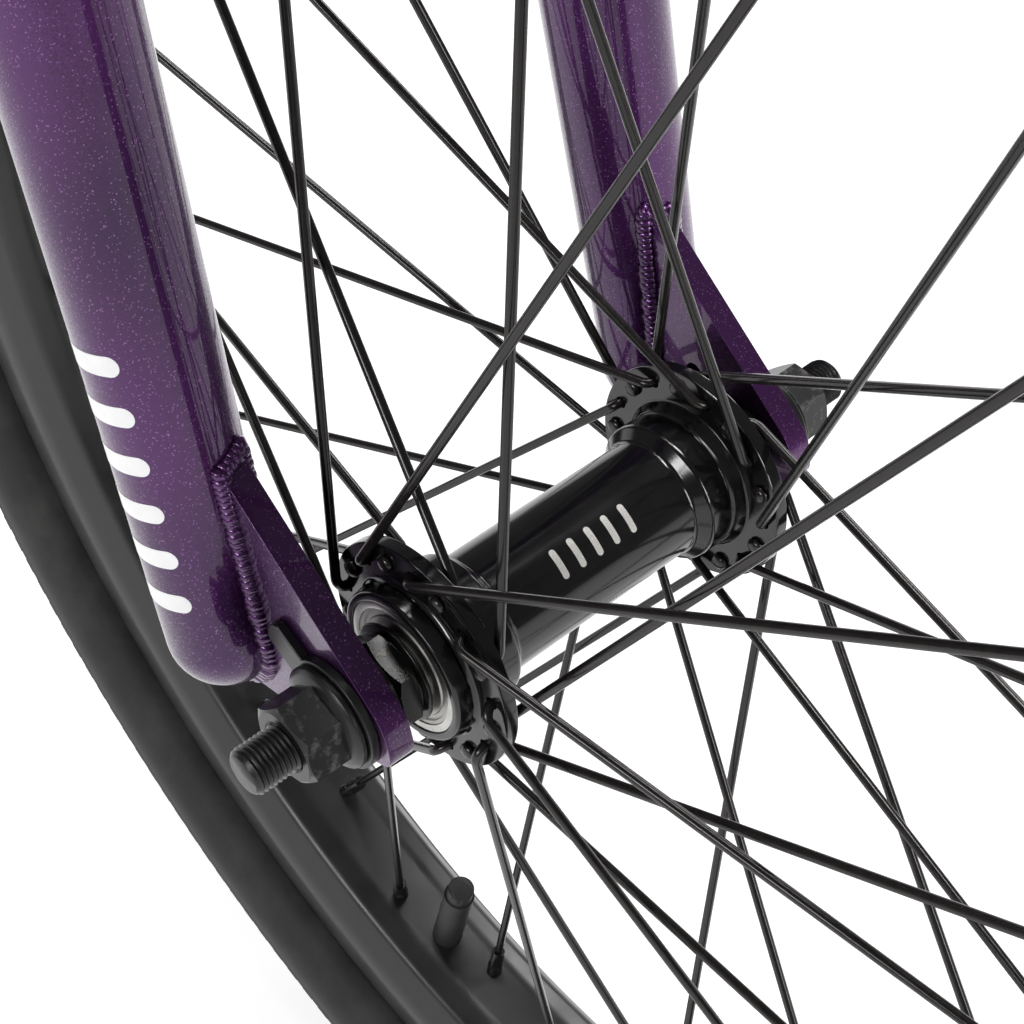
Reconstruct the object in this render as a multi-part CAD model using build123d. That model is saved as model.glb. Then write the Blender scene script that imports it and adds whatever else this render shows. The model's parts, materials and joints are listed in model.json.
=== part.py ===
from build123d import *
import os
from math import cos, pi, radians, sin, sqrt, tan

# A twenty-inch BMX bike, in millimetres: +X is forward, +Y is the rider's left, +Z is up.
# The origin is on the ground, under the middle of the bike.

# ---------------------------------------------------------------- driving dimensions
WHEELBASE = 935.2
TYRE_OUTER_R = 254.0
TYRE_SECTION_R = 29.0
TYRE_WALL = 2.6
BEAD_SEAT_R = 203.0
TUBE_SKIN = 0.9
RIM_HALF_WIDTH = 18.0
SPOKE_COUNT = 36
SPOKE_CROSSES = 3
SPOKE_R = 1.0

BRACKET_HEIGHT = 292.0
HEAD_ANGLE = 75.0
SEAT_ANGLE = 71.0
FORK_OFFSET = 32.0
CROWN_RACE = 318.0
HEAD_TUBE_LENGTH = 115.0
HEAD_TUBE_R = 25.0
STEERER_R = 14.3
TOP_TUBE_R = 17.5
DOWN_TUBE_R = 19.0
SEAT_TUBE_R = 15.9
TUBE_WALL = 1.6
SEAT_TUBE_LENGTH = 238.0
POST_R = 12.7
POST_SHOWN = 55.0

CHAIN_PITCH = 12.7
CHAIN_LINKS = 74
SPROCKET_TEETH = 28
DRIVER_TEETH = 10
CHAIN_LINE = 44.0
ROLLER_R = 3.85
CRANK_LENGTH = 175.0
CRANK_INNER = 59.0
CRANK_OUTER = 75.0
SHELL_HALF_WIDTH = 34.0
SPINDLE_R = 9.5

FRONT_DROPOUT_Y = 50.0
FRONT_DROPOUT_PLATE = 5.5
FRONT_AXLE_R = 4.76
FRONT_AXLE_LENGTH = 153.8
FRONT_NUT_FLATS = 15.0
FRONT_NUT_HEIGHT = 10.6
FRONT_WASHER = 1.9
FRONT_FLANGE_Y = 37.0
FRONT_FLANGE_R = 23.8
REAR_DROPOUT_Y = 55.0
REAR_DROPOUT_PLATE = 6.0
REAR_AXLE_R = 7.0
REAR_AXLE_LENGTH = 172.0
REAR_NUT_FLATS = 19.0
REAR_NUT_HEIGHT = 12.0
REAR_WASHER = 2.0
RELIEF_DEPTH = 0.3
RELIEF_WIDTH = 1.2
FLANGE_THICKNESS = 3.0

LEG_Y = 57.3
LEG_TOP_Y = 51.5
LEG_END_R = 11.3
LEG_TOP_R = 14.6
LEG_STRAIGHT = 236.0

BAR_R = 11.1
BAR_WALL = 1.6
BAR_HALF_WIDTH = 362.0
BAR_RISE = 222.0
BAR_BACK_SWEEP = 11.0
STEM_REACH = 50.0
STEM_HEIGHT = 36.0
STEM_WIDTH = 50.0

SEAT_LENGTH = 240.0
SEAT_WIDTH = 135.0
SEAT_TILT = 8.0

RUNNING_FIT = 0.05
LOOSE_FIT = 0.3

SIDES = (-1, 1)

# ---------------------------------------------------------------- places and directions
ACROSS = Vector(0, 1, 0)
STEER = Vector(-cos(radians(HEAD_ANGLE)), 0, sin(radians(HEAD_ANGLE)))
AHEAD = Vector(sin(radians(HEAD_ANGLE)), 0, cos(radians(HEAD_ANGLE)))
SEAT_DIRECTION = Vector(-cos(radians(SEAT_ANGLE)), 0, sin(radians(SEAT_ANGLE)))

FRONT_AXLE = Vector(WHEELBASE / 2, 0, TYRE_OUTER_R)
REAR_AXLE = Vector(-WHEELBASE / 2, 0, TYRE_OUTER_R)

SPROCKET_PITCH_R = CHAIN_PITCH / (2 * sin(pi / SPROCKET_TEETH))
DRIVER_PITCH_R = CHAIN_PITCH / (2 * sin(pi / DRIVER_TEETH))
SPROCKET_WRAP = SPROCKET_TEETH // 2
DRIVER_WRAP = 4
RUN_LINKS = (CHAIN_LINKS - SPROCKET_WRAP - DRIVER_WRAP) // 2


def chain_centre_distance():
    """Distance from bracket to rear axle at which the chain closes with both runs straight."""
    half_wrap = DRIVER_WRAP * pi / DRIVER_TEETH
    drop = SPROCKET_PITCH_R - DRIVER_PITCH_R * sin(half_wrap)
    run = RUN_LINKS * CHAIN_PITCH
    return sqrt(run**2 - drop**2) + DRIVER_PITCH_R * cos(pi - half_wrap)


STAY_LENGTH = chain_centre_distance()
STAY_DROP = BRACKET_HEIGHT - TYRE_OUTER_R
BRACKET = REAR_AXLE + Vector(sqrt(STAY_LENGTH**2 - STAY_DROP**2), 0, STAY_DROP)
CHAIN_AHEAD = (BRACKET - REAR_AXLE).normalized()
CHAIN_UP = Vector(-CHAIN_AHEAD.Z, 0, CHAIN_AHEAD.X)

HEAD_BOTTOM = CROWN_RACE + 4.0
HEAD_TOP = HEAD_BOTTOM + HEAD_TUBE_LENGTH
STEM_BOTTOM = HEAD_TOP + 9.0
STEM_MIDDLE = STEM_BOTTOM + STEM_HEIGHT / 2


def on_fork(along, ahead=0.0, side=0.0):
    """Point measured from the front axle: along the steering axis, ahead of it and sideways."""
    return FRONT_AXLE + STEER * along + AHEAD * ahead + ACROSS * side


def on_steerer(along, side=0.0):
    """Point on the steering axis, measured up from beside the front axle."""
    return on_fork(along, -FORK_OFFSET, side)


def on_seat_tube(along, side=0.0):
    """Point on the seat tube's axis, measured up from the bottom bracket."""
    return BRACKET + SEAT_DIRECTION * along + ACROSS * side


def from_rear(ahead, up, side=0.0):
    """Point measured from the rear axle along the chain's centre line."""
    return REAR_AXLE + CHAIN_AHEAD * ahead + CHAIN_UP * up + ACROSS * side


BAR_CENTRE = on_steerer(STEM_MIDDLE) + AHEAD * STEM_REACH


# ---------------------------------------------------------------- basic shapes
def rod(start, end, radius, end_radius=None):
    """Solid round bar, or a cone when the end has a radius of its own."""
    plane = Plane(origin=start, z_dir=end - start)
    length = (end - start).length
    if end_radius is None or abs(end_radius - radius) < 1e-6:
        return Solid.make_cylinder(radius, length, plane)
    return Solid.make_cone(radius, end_radius, length, plane)


def tube(start, end, radius, wall=TUBE_WALL, reach=0.0):
    """Open round tube; reach lengthens the bore past both ends."""
    extra = (end - start).normalized() * reach
    return rod(start, end, radius) - rod(start - extra, end + extra, radius - wall)


def ring(centre, axis, outer, inner, width):
    """Flat ring whose middle is at centre."""
    half = axis.normalized() * (width / 2)
    start = centre - half
    end = centre + half
    margin = half * 0.2
    return rod(start, end, outer) - rod(start - margin, end + margin, inner)


def hexagon(start, end, across_flats):
    """Hexagonal bar."""
    plane = Plane(origin=start, x_dir=STEER, z_dir=end - start)
    radius = across_flats / sqrt(3)
    return extrude(plane * RegularPolygon(radius, 6), (end - start).length).solid()


def side_plate(points, inner, outer, frame_of, rounding=0.0):
    """Flat plate across the bike's width, from its outline given in a local frame."""
    corners = [frame_of(a, b) + ACROSS * inner for a, b in points]
    outline = make_face(Polyline(*corners, close=True))
    if rounding:
        outline = fillet(outline.vertices(), rounding)
    direction = ACROSS * (1 if outer > inner else -1)
    return extrude(outline, abs(outer - inner), dir=direction).solid()


def swept_tube(points, radii, radius, wall):
    """Bent tube along straight runs joined by tangent arcs; a wall of zero makes it solid."""
    path = FilletPolyline(*points, radius=radii)
    section = Circle(radius)
    if wall:
        section = section - Circle(radius - wall)
    plane = Plane(origin=path @ 0, z_dir=path % 0)
    return sweep(plane * section, path=path).solid()


def spin(profile, centre):
    """Turn a half section, drawn with X across the bike and Y outwards, about the wheel's axis."""
    plane = Plane(origin=centre, x_dir=(0, 1, 0), z_dir=(1, 0, 0))
    axis = Axis(centre, (0, 1, 0))
    return revolve(plane * profile, axis, 360).solid()


def outline(*points):
    """Closed straight-sided section."""
    return make_face(Polyline(*points, close=True))


def mirrored(points):
    """Outline points for positive X, closed with their reflection."""
    return list(points) + [(-x, y) for x, y in reversed(points)]


def save(name, *shapes):
    """Write one named sub-part, made of one or more separate solids."""
    solids = [solid for shape in shapes for solid in shape.solids()]
    piece = solids[0] if len(solids) == 1 else Compound(children=solids)
    piece.label = name
    export_step(piece, f"parts/{name}.step")


# ---------------------------------------------------------------- wheels
RIM_BED_R = 186.0
SPOKE_END_R = 188.0
NIPPLE_SEAT_R = 189.1
NIPPLE_R = 2.0
SPOKE_LIFT_INSIDE = 1.3
SPOKE_LIFT_OUTSIDE = 2.7
SPOKE_PHASE = radians(15)
VALVE_ANGLE = radians(-100)
INNER_TUBE_MIDDLE = 231.0
INNER_TUBE_R = 19.6
VALVE_FOOT = 160.0


def rim_section():
    """Double-wall rim: two flanges, a bead seat and a hollow chamber above the spoke bed."""
    width = RIM_HALF_WIDTH
    outside = [
        (7.0, RIM_BED_R), (13.0, RIM_BED_R + 2.0), (width - 0.6, 197.0),
        (width, 200.0), (width, BEAD_SEAT_R + 6.0), (width - 3.0, BEAD_SEAT_R + 6.0),
        (width - 3.0, BEAD_SEAT_R), (10.0, BEAD_SEAT_R - 0.6), (7.5, BEAD_SEAT_R - 3.0),
    ]
    chamber = [(6.6, RIM_BED_R + 2.2), (12.0, RIM_BED_R + 4.0), (15.0, 196.0), (14.6, 198.2)]
    return outline(*mirrored(outside)) - outline(*mirrored(chamber))


def tyre_section():
    """Balloon tyre: a round casing that narrows to two beads held inside the rim."""
    middle = TYRE_OUTER_R - TYRE_SECTION_R
    neck = RIM_HALF_WIDTH - 3.4
    turn = TYRE_SECTION_R - neck
    slant = TYRE_SECTION_R / sqrt(2)
    inner = TYRE_SECTION_R - TYRE_WALL
    inner_slant = inner / sqrt(2)
    turn_slant = turn / sqrt(2)
    inner_turn = turn - TYRE_WALL
    bead = neck - 3.2
    foot = BEAD_SEAT_R + LOOSE_FIT
    half = [
        ThreePointArc((0, middle + TYRE_SECTION_R), (slant, middle + slant), (TYRE_SECTION_R, middle)),
        ThreePointArc(
            (TYRE_SECTION_R, middle), (neck + turn_slant, middle - turn_slant), (neck, middle - turn)
        ),
        Line((neck, middle - turn), (neck, foot)),
        Line((neck, foot), (bead, foot)),
        Line((bead, foot), (bead, middle - inner_turn)),
        Line((bead, middle - inner_turn), (neck, middle - inner_turn)),
        ThreePointArc(
            (neck, middle - inner_turn),
            (neck + inner_turn / sqrt(2), middle - inner_turn / sqrt(2)),
            (inner, middle),
        ),
        ThreePointArc((inner, middle), (inner_slant, middle + inner_slant), (0, middle + inner)),
        Line((0, middle + inner), (0, middle + TYRE_SECTION_R)),
    ]
    return make_face(Wire(half))


def spoke_lines(centre, flanges):
    """Start, bend and end of every spoke, with the hole that it passes through in its flange."""
    per_side = SPOKE_COUNT // 2
    shift = SPOKE_CROSSES * 4 * pi / SPOKE_COUNT
    lines = []
    for side, (flange_y, hole_r) in zip(SIDES, flanges):
        phase = SPOKE_PHASE + (0.0 if side < 0 else 2 * pi / SPOKE_COUNT)
        for index in range(per_side):
            hub_angle = phase + index * 2 * pi / per_side
            outside = index % 2 == 0
            rim_angle = hub_angle + (-shift if outside else shift)
            outward = side if outside else -side
            gap = SPOKE_LIFT_OUTSIDE if outside else SPOKE_LIFT_INSIDE
            lift = outward * (FLANGE_THICKNESS / 2 + gap)
            button = outward * (FLANGE_THICKNESS / 2 + 0.3)
            hub_ray = Vector(cos(hub_angle), 0, sin(hub_angle))
            rim_ray = Vector(cos(rim_angle), 0, sin(rim_angle))
            bend = centre + hub_ray * hole_r + ACROSS * (flange_y + lift)
            head = centre + hub_ray * hole_r + ACROSS * (flange_y - button)
            end = centre + rim_ray * SPOKE_END_R + ACROSS * (side * 2.5)
            lines.append((head, bend, end))
    return lines


def make_wheel(name, centre, flanges):
    """Rim, tyre, inner tube, spokes and nipples of one wheel; returns the holes in its flanges."""
    rim = spin(rim_section(), centre)
    tyre_half = spin(tyre_section(), centre)
    tyre = tyre_half + tyre_half.mirror(Plane(origin=centre, z_dir=(0, 1, 0)))
    spokes = []
    nipples = []
    rim_holes = []
    flange_holes = []
    for head, bend, end in spoke_lines(centre, flanges):
        run = (end - bend).normalized()
        seat = end + run * (NIPPLE_SEAT_R - SPOKE_END_R)
        across = (head - bend).normalized()
        button = rod(head, head + across * 0.9, 1.9)
        elbow = rod(bend - across * 0.9, head, SPOKE_R + 0.12)
        spokes.append(rod(bend - run * 0.7, end, SPOKE_R) + elbow + button)
        barrel = rod(seat - run * 12.0, seat + run * 0.2, NIPPLE_R) + rod(seat, seat + run * 2.2, 2.9)
        bore = rod(seat - run * 13.0, end + run * 0.4, SPOKE_R + 0.02)
        nipples.append(barrel - bore)
        rim_holes.append(rod(seat - run * 6.0, seat + run * 3.0, NIPPLE_R + 0.25))
        rim_holes.append(rod(seat + run * 4.0, seat + run * 20.0, 4.4))
        flange_holes.append(rod(head + across * 0.4, bend, SPOKE_R + 0.25))
    valve_ray = Vector(cos(VALVE_ANGLE), 0, sin(VALVE_ANGLE))
    valve_foot = centre + valve_ray * VALVE_FOOT
    rim_holes.append(rod(valve_foot, centre + valve_ray * 214.0, 4.3))
    for hole in rim_holes:
        rim = rim - hole
    wheel_plane = Plane(origin=centre, x_dir=(1, 0, 0), z_dir=(0, 1, 0))
    skin = Solid.make_torus(INNER_TUBE_MIDDLE, INNER_TUBE_R, wheel_plane)
    inner_tube = skin - Solid.make_torus(INNER_TUBE_MIDDLE, INNER_TUBE_R - TUBE_SKIN, wheel_plane)
    valve_end = INNER_TUBE_MIDDLE - INNER_TUBE_R + 5.0
    valve = rod(valve_foot, centre + valve_ray * valve_end, 4.0) - skin
    cap = rod(valve_foot - valve_ray * 4.0, valve_foot, 3.4)
    save(f"{name}_rim", rim)
    save(f"{name}_tyre", tyre)
    save(f"{name}_inner_tube", inner_tube, valve + cap)
    save(f"{name}_spokes", *spokes)
    save(f"{name}_spoke_nipples", *nipples)
    return flange_holes


def turned(points, centre, side=1):
    """Turned piece from distances across the bike and radii, on the left, or on the right when side is -1."""
    corners = [(side * across, radius) for across, radius in points]
    return spin(outline(*corners), centre)


# ---------------------------------------------------------------- front hub
BEARING_R = 14.0
BEARING_FACE = 41.1
FRONT_HOLE_R = 20.3
WASHER_HOOK = (11.0, -12.2)


def make_front_hub(flange_holes):
    """Hub shell, sealed bearings, axle, cones, nuts and safety washers of the front wheel."""
    inner_face = FRONT_FLANGE_Y - FLANGE_THICKNESS
    profile = [
        (23.5, 12.5), (25.5, 15.0), (30.5, 15.0), (31.0, 14.4), (31.5, 15.0), (inner_face, 16.2),
        (inner_face, FRONT_FLANGE_R), (FRONT_FLANGE_Y, FRONT_FLANGE_R), (FRONT_FLANGE_Y, 16.4),
        (41.3, 15.7), (41.3, BEARING_R), (33.0, BEARING_R), (33.0, 9.0),
    ]
    shell = spin(outline(*mirrored(profile)), FRONT_AXLE)
    for hole in flange_holes:
        shell = shell - hole
    race = [
        (33.1, BEARING_R), (BEARING_FACE, BEARING_R), (BEARING_FACE, 12.4), (40.7, 12.2),
        (40.7, 8.2), (BEARING_FACE, 8.0), (BEARING_FACE, 6.0), (33.1, 6.0),
    ]
    cone = [
        (34.0, 5.92), (41.4, 5.92), (41.4, 7.8), (42.0, 7.8), (42.0, 10.2), (43.0, 10.2), (43.0, 9.4),
        (47.2, 9.4), (47.6, 8.2), (FRONT_DROPOUT_Y, 8.2), (FRONT_DROPOUT_Y, 4.8), (34.0, 4.8),
    ]
    outer_face = FRONT_DROPOUT_Y + FRONT_DROPOUT_PLATE
    washer_end = outer_face + FRONT_WASHER
    nut_end = washer_end + FRONT_NUT_HEIGHT
    nuts = [
        axle_nut(FRONT_AXLE, side, washer_end, FRONT_AXLE_R, FRONT_NUT_FLATS, FRONT_NUT_HEIGHT)
        for side in SIDES
    ]
    save("front_hub_shell", shell)
    save("front_hub_bearings", *[turned(race, FRONT_AXLE, side) for side in SIDES])
    save("front_cones", *[turned(cone, FRONT_AXLE, side) for side in SIDES])
    save("front_axle", grooved_axle(FRONT_AXLE, FRONT_AXLE_LENGTH, FRONT_AXLE_R, nut_end, 0.9))
    save("front_axle_nuts", *nuts)
    save("front_safety_washers", *[safety_washer(side, outer_face, washer_end) for side in SIDES])


def grooved_axle(centre, length, radius, nut_end, edge):
    """Axle with bevelled ends and a relief groove where each nut stops."""
    half = ACROSS * (length / 2)
    axle = chamfer(rod(centre - half, centre + half, radius).edges(), edge)
    for side in SIDES:
        middle = centre + ACROSS * (side * nut_end)
        axle = axle - ring(middle, ACROSS, radius + 1.0, radius - RELIEF_DEPTH, RELIEF_WIDTH)
    return axle


def axle_nut(centre, side, start, axle_r, across_flats, body):
    """Flanged hexagon nut on one end of an axle."""
    flange_end = start + 1.8
    seat = centre + ACROSS * (side * start)
    step = centre + ACROSS * (side * flange_end)
    top = centre + ACROSS * (side * (start + body))
    nut = rod(seat, step, across_flats * 0.7) + hexagon(step, top, across_flats)
    return nut - rod(seat - ACROSS * side, top + ACROSS * side, axle_r + RUNNING_FIT)


def safety_washer(side, start, end):
    """Washer with a tab whose hook sits in the dropout's small hole."""
    disc = rod(on_fork(0, 0, side * start), on_fork(0, 0, side * end), 11.4)
    along, ahead = WASHER_HOOK
    reach = Vector(along, ahead).normalized()
    width = Vector(-reach.Y, reach.X) * 3.2
    tip = Vector(along, ahead) + reach * 3.0
    corners = [width, tip + width, tip - width, width * -1]
    tab = side_plate([(c.X, c.Y) for c in corners], side * start, side * end, on_fork)
    hook = rod(on_fork(along, ahead, side * (start - 3.5)), on_fork(along, ahead, side * end), 1.8)
    bore = rod(on_fork(0, 0, side * (start - 1)), on_fork(0, 0, side * (end + 1)), FRONT_AXLE_R + RUNNING_FIT)
    return disc + tab + hook - bore


# ---------------------------------------------------------------- fork
LEG_FOOT = 4.0
LEG_BEND = 283.0
LEG_ROOT = (294.0, 9.0)
STEERER_FOOT = 276.0


def leg_point(along, side):
    """Point on a fork leg's straight axis."""
    lean = (LEG_TOP_Y - LEG_Y) / (LEG_STRAIGHT - LEG_FOOT)
    return on_steerer(along, side * (LEG_Y + lean * (along - LEG_FOOT)))


def leg_body(side, inset):
    """Tapered leg with a domed foot; inset gives the hollow inside."""
    foot = leg_point(LEG_FOOT, side)
    top = leg_point(LEG_STRAIGHT, side)
    length = (top - foot).length
    end_r = LEG_END_R - inset
    slant = end_r / sqrt(2)
    section = make_face(Wire([
        ThreePointArc((0, -end_r), (slant, -slant), (end_r, 0)),
        Line((end_r, 0), (LEG_TOP_R - inset, length)),
        Line((LEG_TOP_R - inset, length), (0, length)),
        Line((0, length), (0, -end_r)),
    ]))
    plane = Plane(origin=foot, x_dir=AHEAD, z_dir=AHEAD.cross(top - foot))
    return revolve(plane * section, Axis(foot, top - foot), 360).solid()


def fork_leg(side):
    """One leg: a straight taper, then a bend in to the steerer."""
    route = [
        leg_point(LEG_STRAIGHT, side),
        leg_point(LEG_BEND, side),
        on_steerer(LEG_ROOT[0], side * LEG_ROOT[1]),
    ]
    crown = swept_tube(route, 27.0, LEG_TOP_R, TUBE_WALL)
    lower = leg_body(side, 0.0) - leg_body(side, 1.2)
    steerer = rod(on_steerer(STEERER_FOOT - 20), on_steerer(CROWN_RACE), STEERER_R)
    return lower + (crown - steerer)


def fork_dropout(side):
    """Flat plate in front of the leg's foot, with an open slot for the axle."""
    inner = side * FRONT_DROPOUT_Y
    outer = side * (FRONT_DROPOUT_Y + FRONT_DROPOUT_PLATE)
    corners = [(54, -33), (46, -22.5), (2.5, 13.4), (-7.5, 13.4), (-9.5, -33)]
    plate = side_plate(corners, inner, outer, on_fork, 3.8)
    slot_r = FRONT_AXLE_R + 0.15
    beyond = side * 10
    slot = rod(on_fork(0, 0, inner - beyond), on_fork(0, 0, outer + beyond), slot_r)
    mouth = [(0, -slot_r), (0, slot_r), (-20, slot_r), (-20, -slot_r)]
    hook_hole = rod(on_fork(*WASHER_HOOK, inner - beyond), on_fork(*WASHER_HOOK, outer + beyond), 2.1)
    opening = slot + side_plate(mouth, inner - beyond, outer + beyond, on_fork) + hook_hole
    return plate - opening - leg_body(side, 0.0)


def make_fork():
    """Steerer, legs and dropouts, welded together on the real fork."""
    steerer_top = STEM_BOTTOM + STEM_HEIGHT - 2.0
    steerer = rod(on_steerer(STEERER_FOOT), on_steerer(steerer_top), STEERER_R)
    seat = rod(on_steerer(CROWN_RACE - 5), on_steerer(CROWN_RACE), 17.5)
    bore = rod(on_steerer(STEERER_FOOT + 3), on_steerer(steerer_top + 1), STEERER_R - 2.6)
    legs = [fork_leg(side) for side in SIDES]
    steerer = steerer + seat - bore
    for leg in legs:
        steerer = steerer - leg
    save("fork_steerer", steerer)
    save("fork_legs", *legs)
    save("fork_dropouts", *[fork_dropout(side) for side in SIDES])


# ---------------------------------------------------------------- headset and stem
CUP_R = 20.5
CUP_DEPTH = 7.2
COLLAR_R = 15.0


def make_headset():
    """Two sealed bearings in the head tube, and the rings and cover that close them."""
    bearings = []
    for low, high in ((HEAD_BOTTOM + 0.4, HEAD_BOTTOM + CUP_DEPTH), (HEAD_TOP - CUP_DEPTH, HEAD_TOP - 0.4)):
        bearings.append(ring(on_steerer((low + high) / 2), STEER, CUP_R, COLLAR_R + RUNNING_FIT, high - low))
    race = rod(on_steerer(CROWN_RACE), on_steerer(HEAD_BOTTOM - 0.4), 22.5)
    race = race + rod(on_steerer(CROWN_RACE), on_steerer(HEAD_BOTTOM + CUP_DEPTH - 1), COLLAR_R)
    clamp = rod(on_steerer(HEAD_TOP - CUP_DEPTH + 1), on_steerer(HEAD_TOP + 0.3), COLLAR_R)
    cover = rod(on_steerer(HEAD_TOP + 0.3), on_steerer(STEM_BOTTOM), 24.0, 18.5)
    stem_top = STEM_BOTTOM + STEM_HEIGHT
    lid = rod(on_steerer(stem_top), on_steerer(stem_top + 3.5), 17.0, 15.5)
    plug = rod(on_steerer(stem_top - 16), on_steerer(stem_top), STEERER_R - 2.6)
    drive = hexagon(on_steerer(stem_top - 6), on_steerer(stem_top + 5), 8.0)
    passage = rod(on_steerer(CROWN_RACE - 1), on_steerer(STEM_BOTTOM + 1), STEERER_R)
    save("headset_bearings", *bearings)
    save("headset_rings", race - passage, clamp - passage)
    save("headset_covers", cover - passage, lid + plug - drive)


def on_stem(along, ahead, side=0.0):
    """Point on the stem, from where the bar's height crosses the steering axis."""
    return on_steerer(STEM_MIDDLE + along) + AHEAD * ahead + ACROSS * side


def make_stem():
    """Front-loading stem, its face plate and its bolts."""
    half = STEM_HEIGHT / 2
    width = STEM_WIDTH / 2
    front = half + 2.0
    profile = [
        (-half, -24.5), (half, -24.5), (half, 20.0), (front, 36.0), (front, STEM_REACH - 0.6),
        (-front, STEM_REACH - 0.6), (-front, 36.0), (-half, 20.0),
    ]
    body = side_plate(profile, -width, width, on_stem, 2.5)
    window = [(-10.5, 20.5), (10.5, 20.5), (10.5, 33.0), (-10.5, 33.0)]
    body = body - side_plate(window, -width - 1, width + 1, on_stem, 3.0)
    body = body - rod(on_stem(-half - 1, 0), on_stem(half + 3, 0), STEERER_R + 0.03)
    slot = [(-half - 1, -30.0), (half + 1, -30.0), (half + 1, 0.0), (-half - 1, 0.0)]
    body = body - side_plate(slot, -1.8, 1.8, on_stem)
    bar_bore = rod(on_stem(0, STEM_REACH, -width - 1), on_stem(0, STEM_REACH, width + 1), BAR_R + RUNNING_FIT)
    plate_profile = [
        (-front, STEM_REACH + 0.6), (front, STEM_REACH + 0.6), (front, STEM_REACH + 12.5),
        (-front, STEM_REACH + 12.5),
    ]
    plate = side_plate(plate_profile, -width, width, on_stem, 2.5) - bar_bore
    body = body - bar_bore
    face = STEM_REACH + 12.5
    shafts = []
    bolts = []
    for along in (-15.6, 15.6):
        for side in (-18.5, 18.5):
            shaft = rod(on_stem(along, 38.0, side), on_stem(along, face, side), 2.9)
            head = rod(on_stem(along, face, side), on_stem(along, face + 4.0, side), 4.2)
            key = hexagon(on_stem(along, face + 1.5, side), on_stem(along, face + 5.0, side), 4.0)
            shafts.append(shaft)
            bolts.append(shaft + head - key)
    for along in (-9.5, 9.5):
        shaft = rod(on_stem(along, -19.0, -width), on_stem(along, -19.0, width - 4), 2.9)
        head = rod(on_stem(along, -19.0, -width - 4), on_stem(along, -19.0, -width), 4.6)
        key = hexagon(on_stem(along, -19.0, -width - 5), on_stem(along, -19.0, -width - 1.5), 4.0)
        shafts.append(shaft)
        bolts.append(shaft + head - key)
    for shaft in shafts:
        body = body - shaft
        plate = plate - shaft
    save("stem_body", body)
    save("stem_face_plate", plate)
    save("stem_bolts", *bolts)


# ---------------------------------------------------------------- handlebar
BAR_FOOT_Y = 50.0
BAR_BEND_Y = 190.0
BAR_TILT_RISE = 3.0
CROSSBAR_HEIGHT = 158.0
CROSSBAR_R = 8.0
GRIP_LENGTH = 148.0
GRIP_R = 15.2


def on_bar(side, up, back=0.0):
    """Point measured from the middle of the clamped part of the bar."""
    return BAR_CENTRE + STEER * up - AHEAD * back + ACROSS * side


def make_bars():
    """Bent bar with its crossbar, two grips and two end plugs."""
    back = (BAR_HALF_WIDTH - BAR_BEND_Y) * tan(radians(BAR_BACK_SWEEP))
    half = [
        (BAR_HALF_WIDTH, BAR_RISE + BAR_TILT_RISE, back),
        (BAR_BEND_Y, BAR_RISE - BAR_TILT_RISE, 0.0),
        (BAR_FOOT_Y, 0.0, 0.0),
    ]
    right = [on_bar(-side, up, behind) for side, up, behind in half]
    left = [on_bar(side, up, behind) for side, up, behind in reversed(half)]
    radii = [48.0, 40.0, 40.0, 48.0]
    bar = swept_tube(right + left, radii, BAR_R, BAR_WALL)
    core = swept_tube(right + left, radii, BAR_R, 0.0)
    reach = BAR_FOOT_Y + (BAR_BEND_Y - BAR_FOOT_Y) * CROSSBAR_HEIGHT / (BAR_RISE - BAR_TILT_RISE)
    crossbar = tube(on_bar(-reach, CROSSBAR_HEIGHT), on_bar(reach, CROSSBAR_HEIGHT), CROSSBAR_R, 1.2)
    grips = []
    plugs = []
    for end, inner in ((right[0], right[1]), (left[-1], left[-2])):
        inward = (inner - end).normalized()
        grip_bore = rod(end - inward, end + inward * (GRIP_LENGTH + 1), BAR_R + 0.02)
        grips.append(rod(end, end + inward * GRIP_LENGTH, GRIP_R) - grip_bore)
        plug_stem = rod(end, end + inward * 22, BAR_R - BAR_WALL - 0.1)
        plugs.append(rod(end - inward * 4.5, end, GRIP_R - 1.5, GRIP_R) + plug_stem)
    save("handlebar", bar)
    save("handlebar_crossbar", crossbar - core)
    save("handlebar_grips", *grips)
    save("bar_end_plugs", *plugs)


# ---------------------------------------------------------------- frame
TOP_TUBE_HEAD = 414.0
DOWN_TUBE_HEAD = 353.0
TOP_TUBE_SEAT = 203.0
SEATSTAY_JOINT = 176.0
CHAINSTAY_R = 9.5
SEATSTAY_R = 8.0
STAY_BEND_R = 60.0
BRACKET_SHELL_R = 23.5
BRACKET_BEARING_R = 20.6


def rear_dropout(side):
    """Plate that joins both stays and holds the axle in a slot open to the rear."""
    inner = side * REAR_DROPOUT_Y
    outer = side * (REAR_DROPOUT_Y + REAR_DROPOUT_PLATE)
    corners = [
        (-27, -16.5), (0, -18.5), (54, -8.5), (56, 8.5), (40, 15.0), (50, 30.0), (40, 42.0), (10, 22.0),
        (-27, 16.5),
    ]
    plate = side_plate(corners, inner, outer, from_rear, 3.0)
    beyond = side * 10
    slot_r = REAR_AXLE_R + 0.1
    slot = rod(from_rear(0, 0, inner - beyond), from_rear(0, 0, outer + beyond), slot_r)
    mouth = [(0, -slot_r), (0, slot_r), (-50, slot_r), (-50, -slot_r)]
    return plate - slot - side_plate(mouth, inner - beyond, outer + beyond, from_rear)


def stay(side, start, aim, route, radius):
    """Bent stay from the frame's middle to the dropout; route lists distance and half width."""
    direction = (aim - start).normalized()
    points = [start + direction * along + ACROSS * (side * half_width) for along, half_width in route]
    return swept_tube(points, [STAY_BEND_R] * (len(route) - 2), radius, TUBE_WALL)


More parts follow.
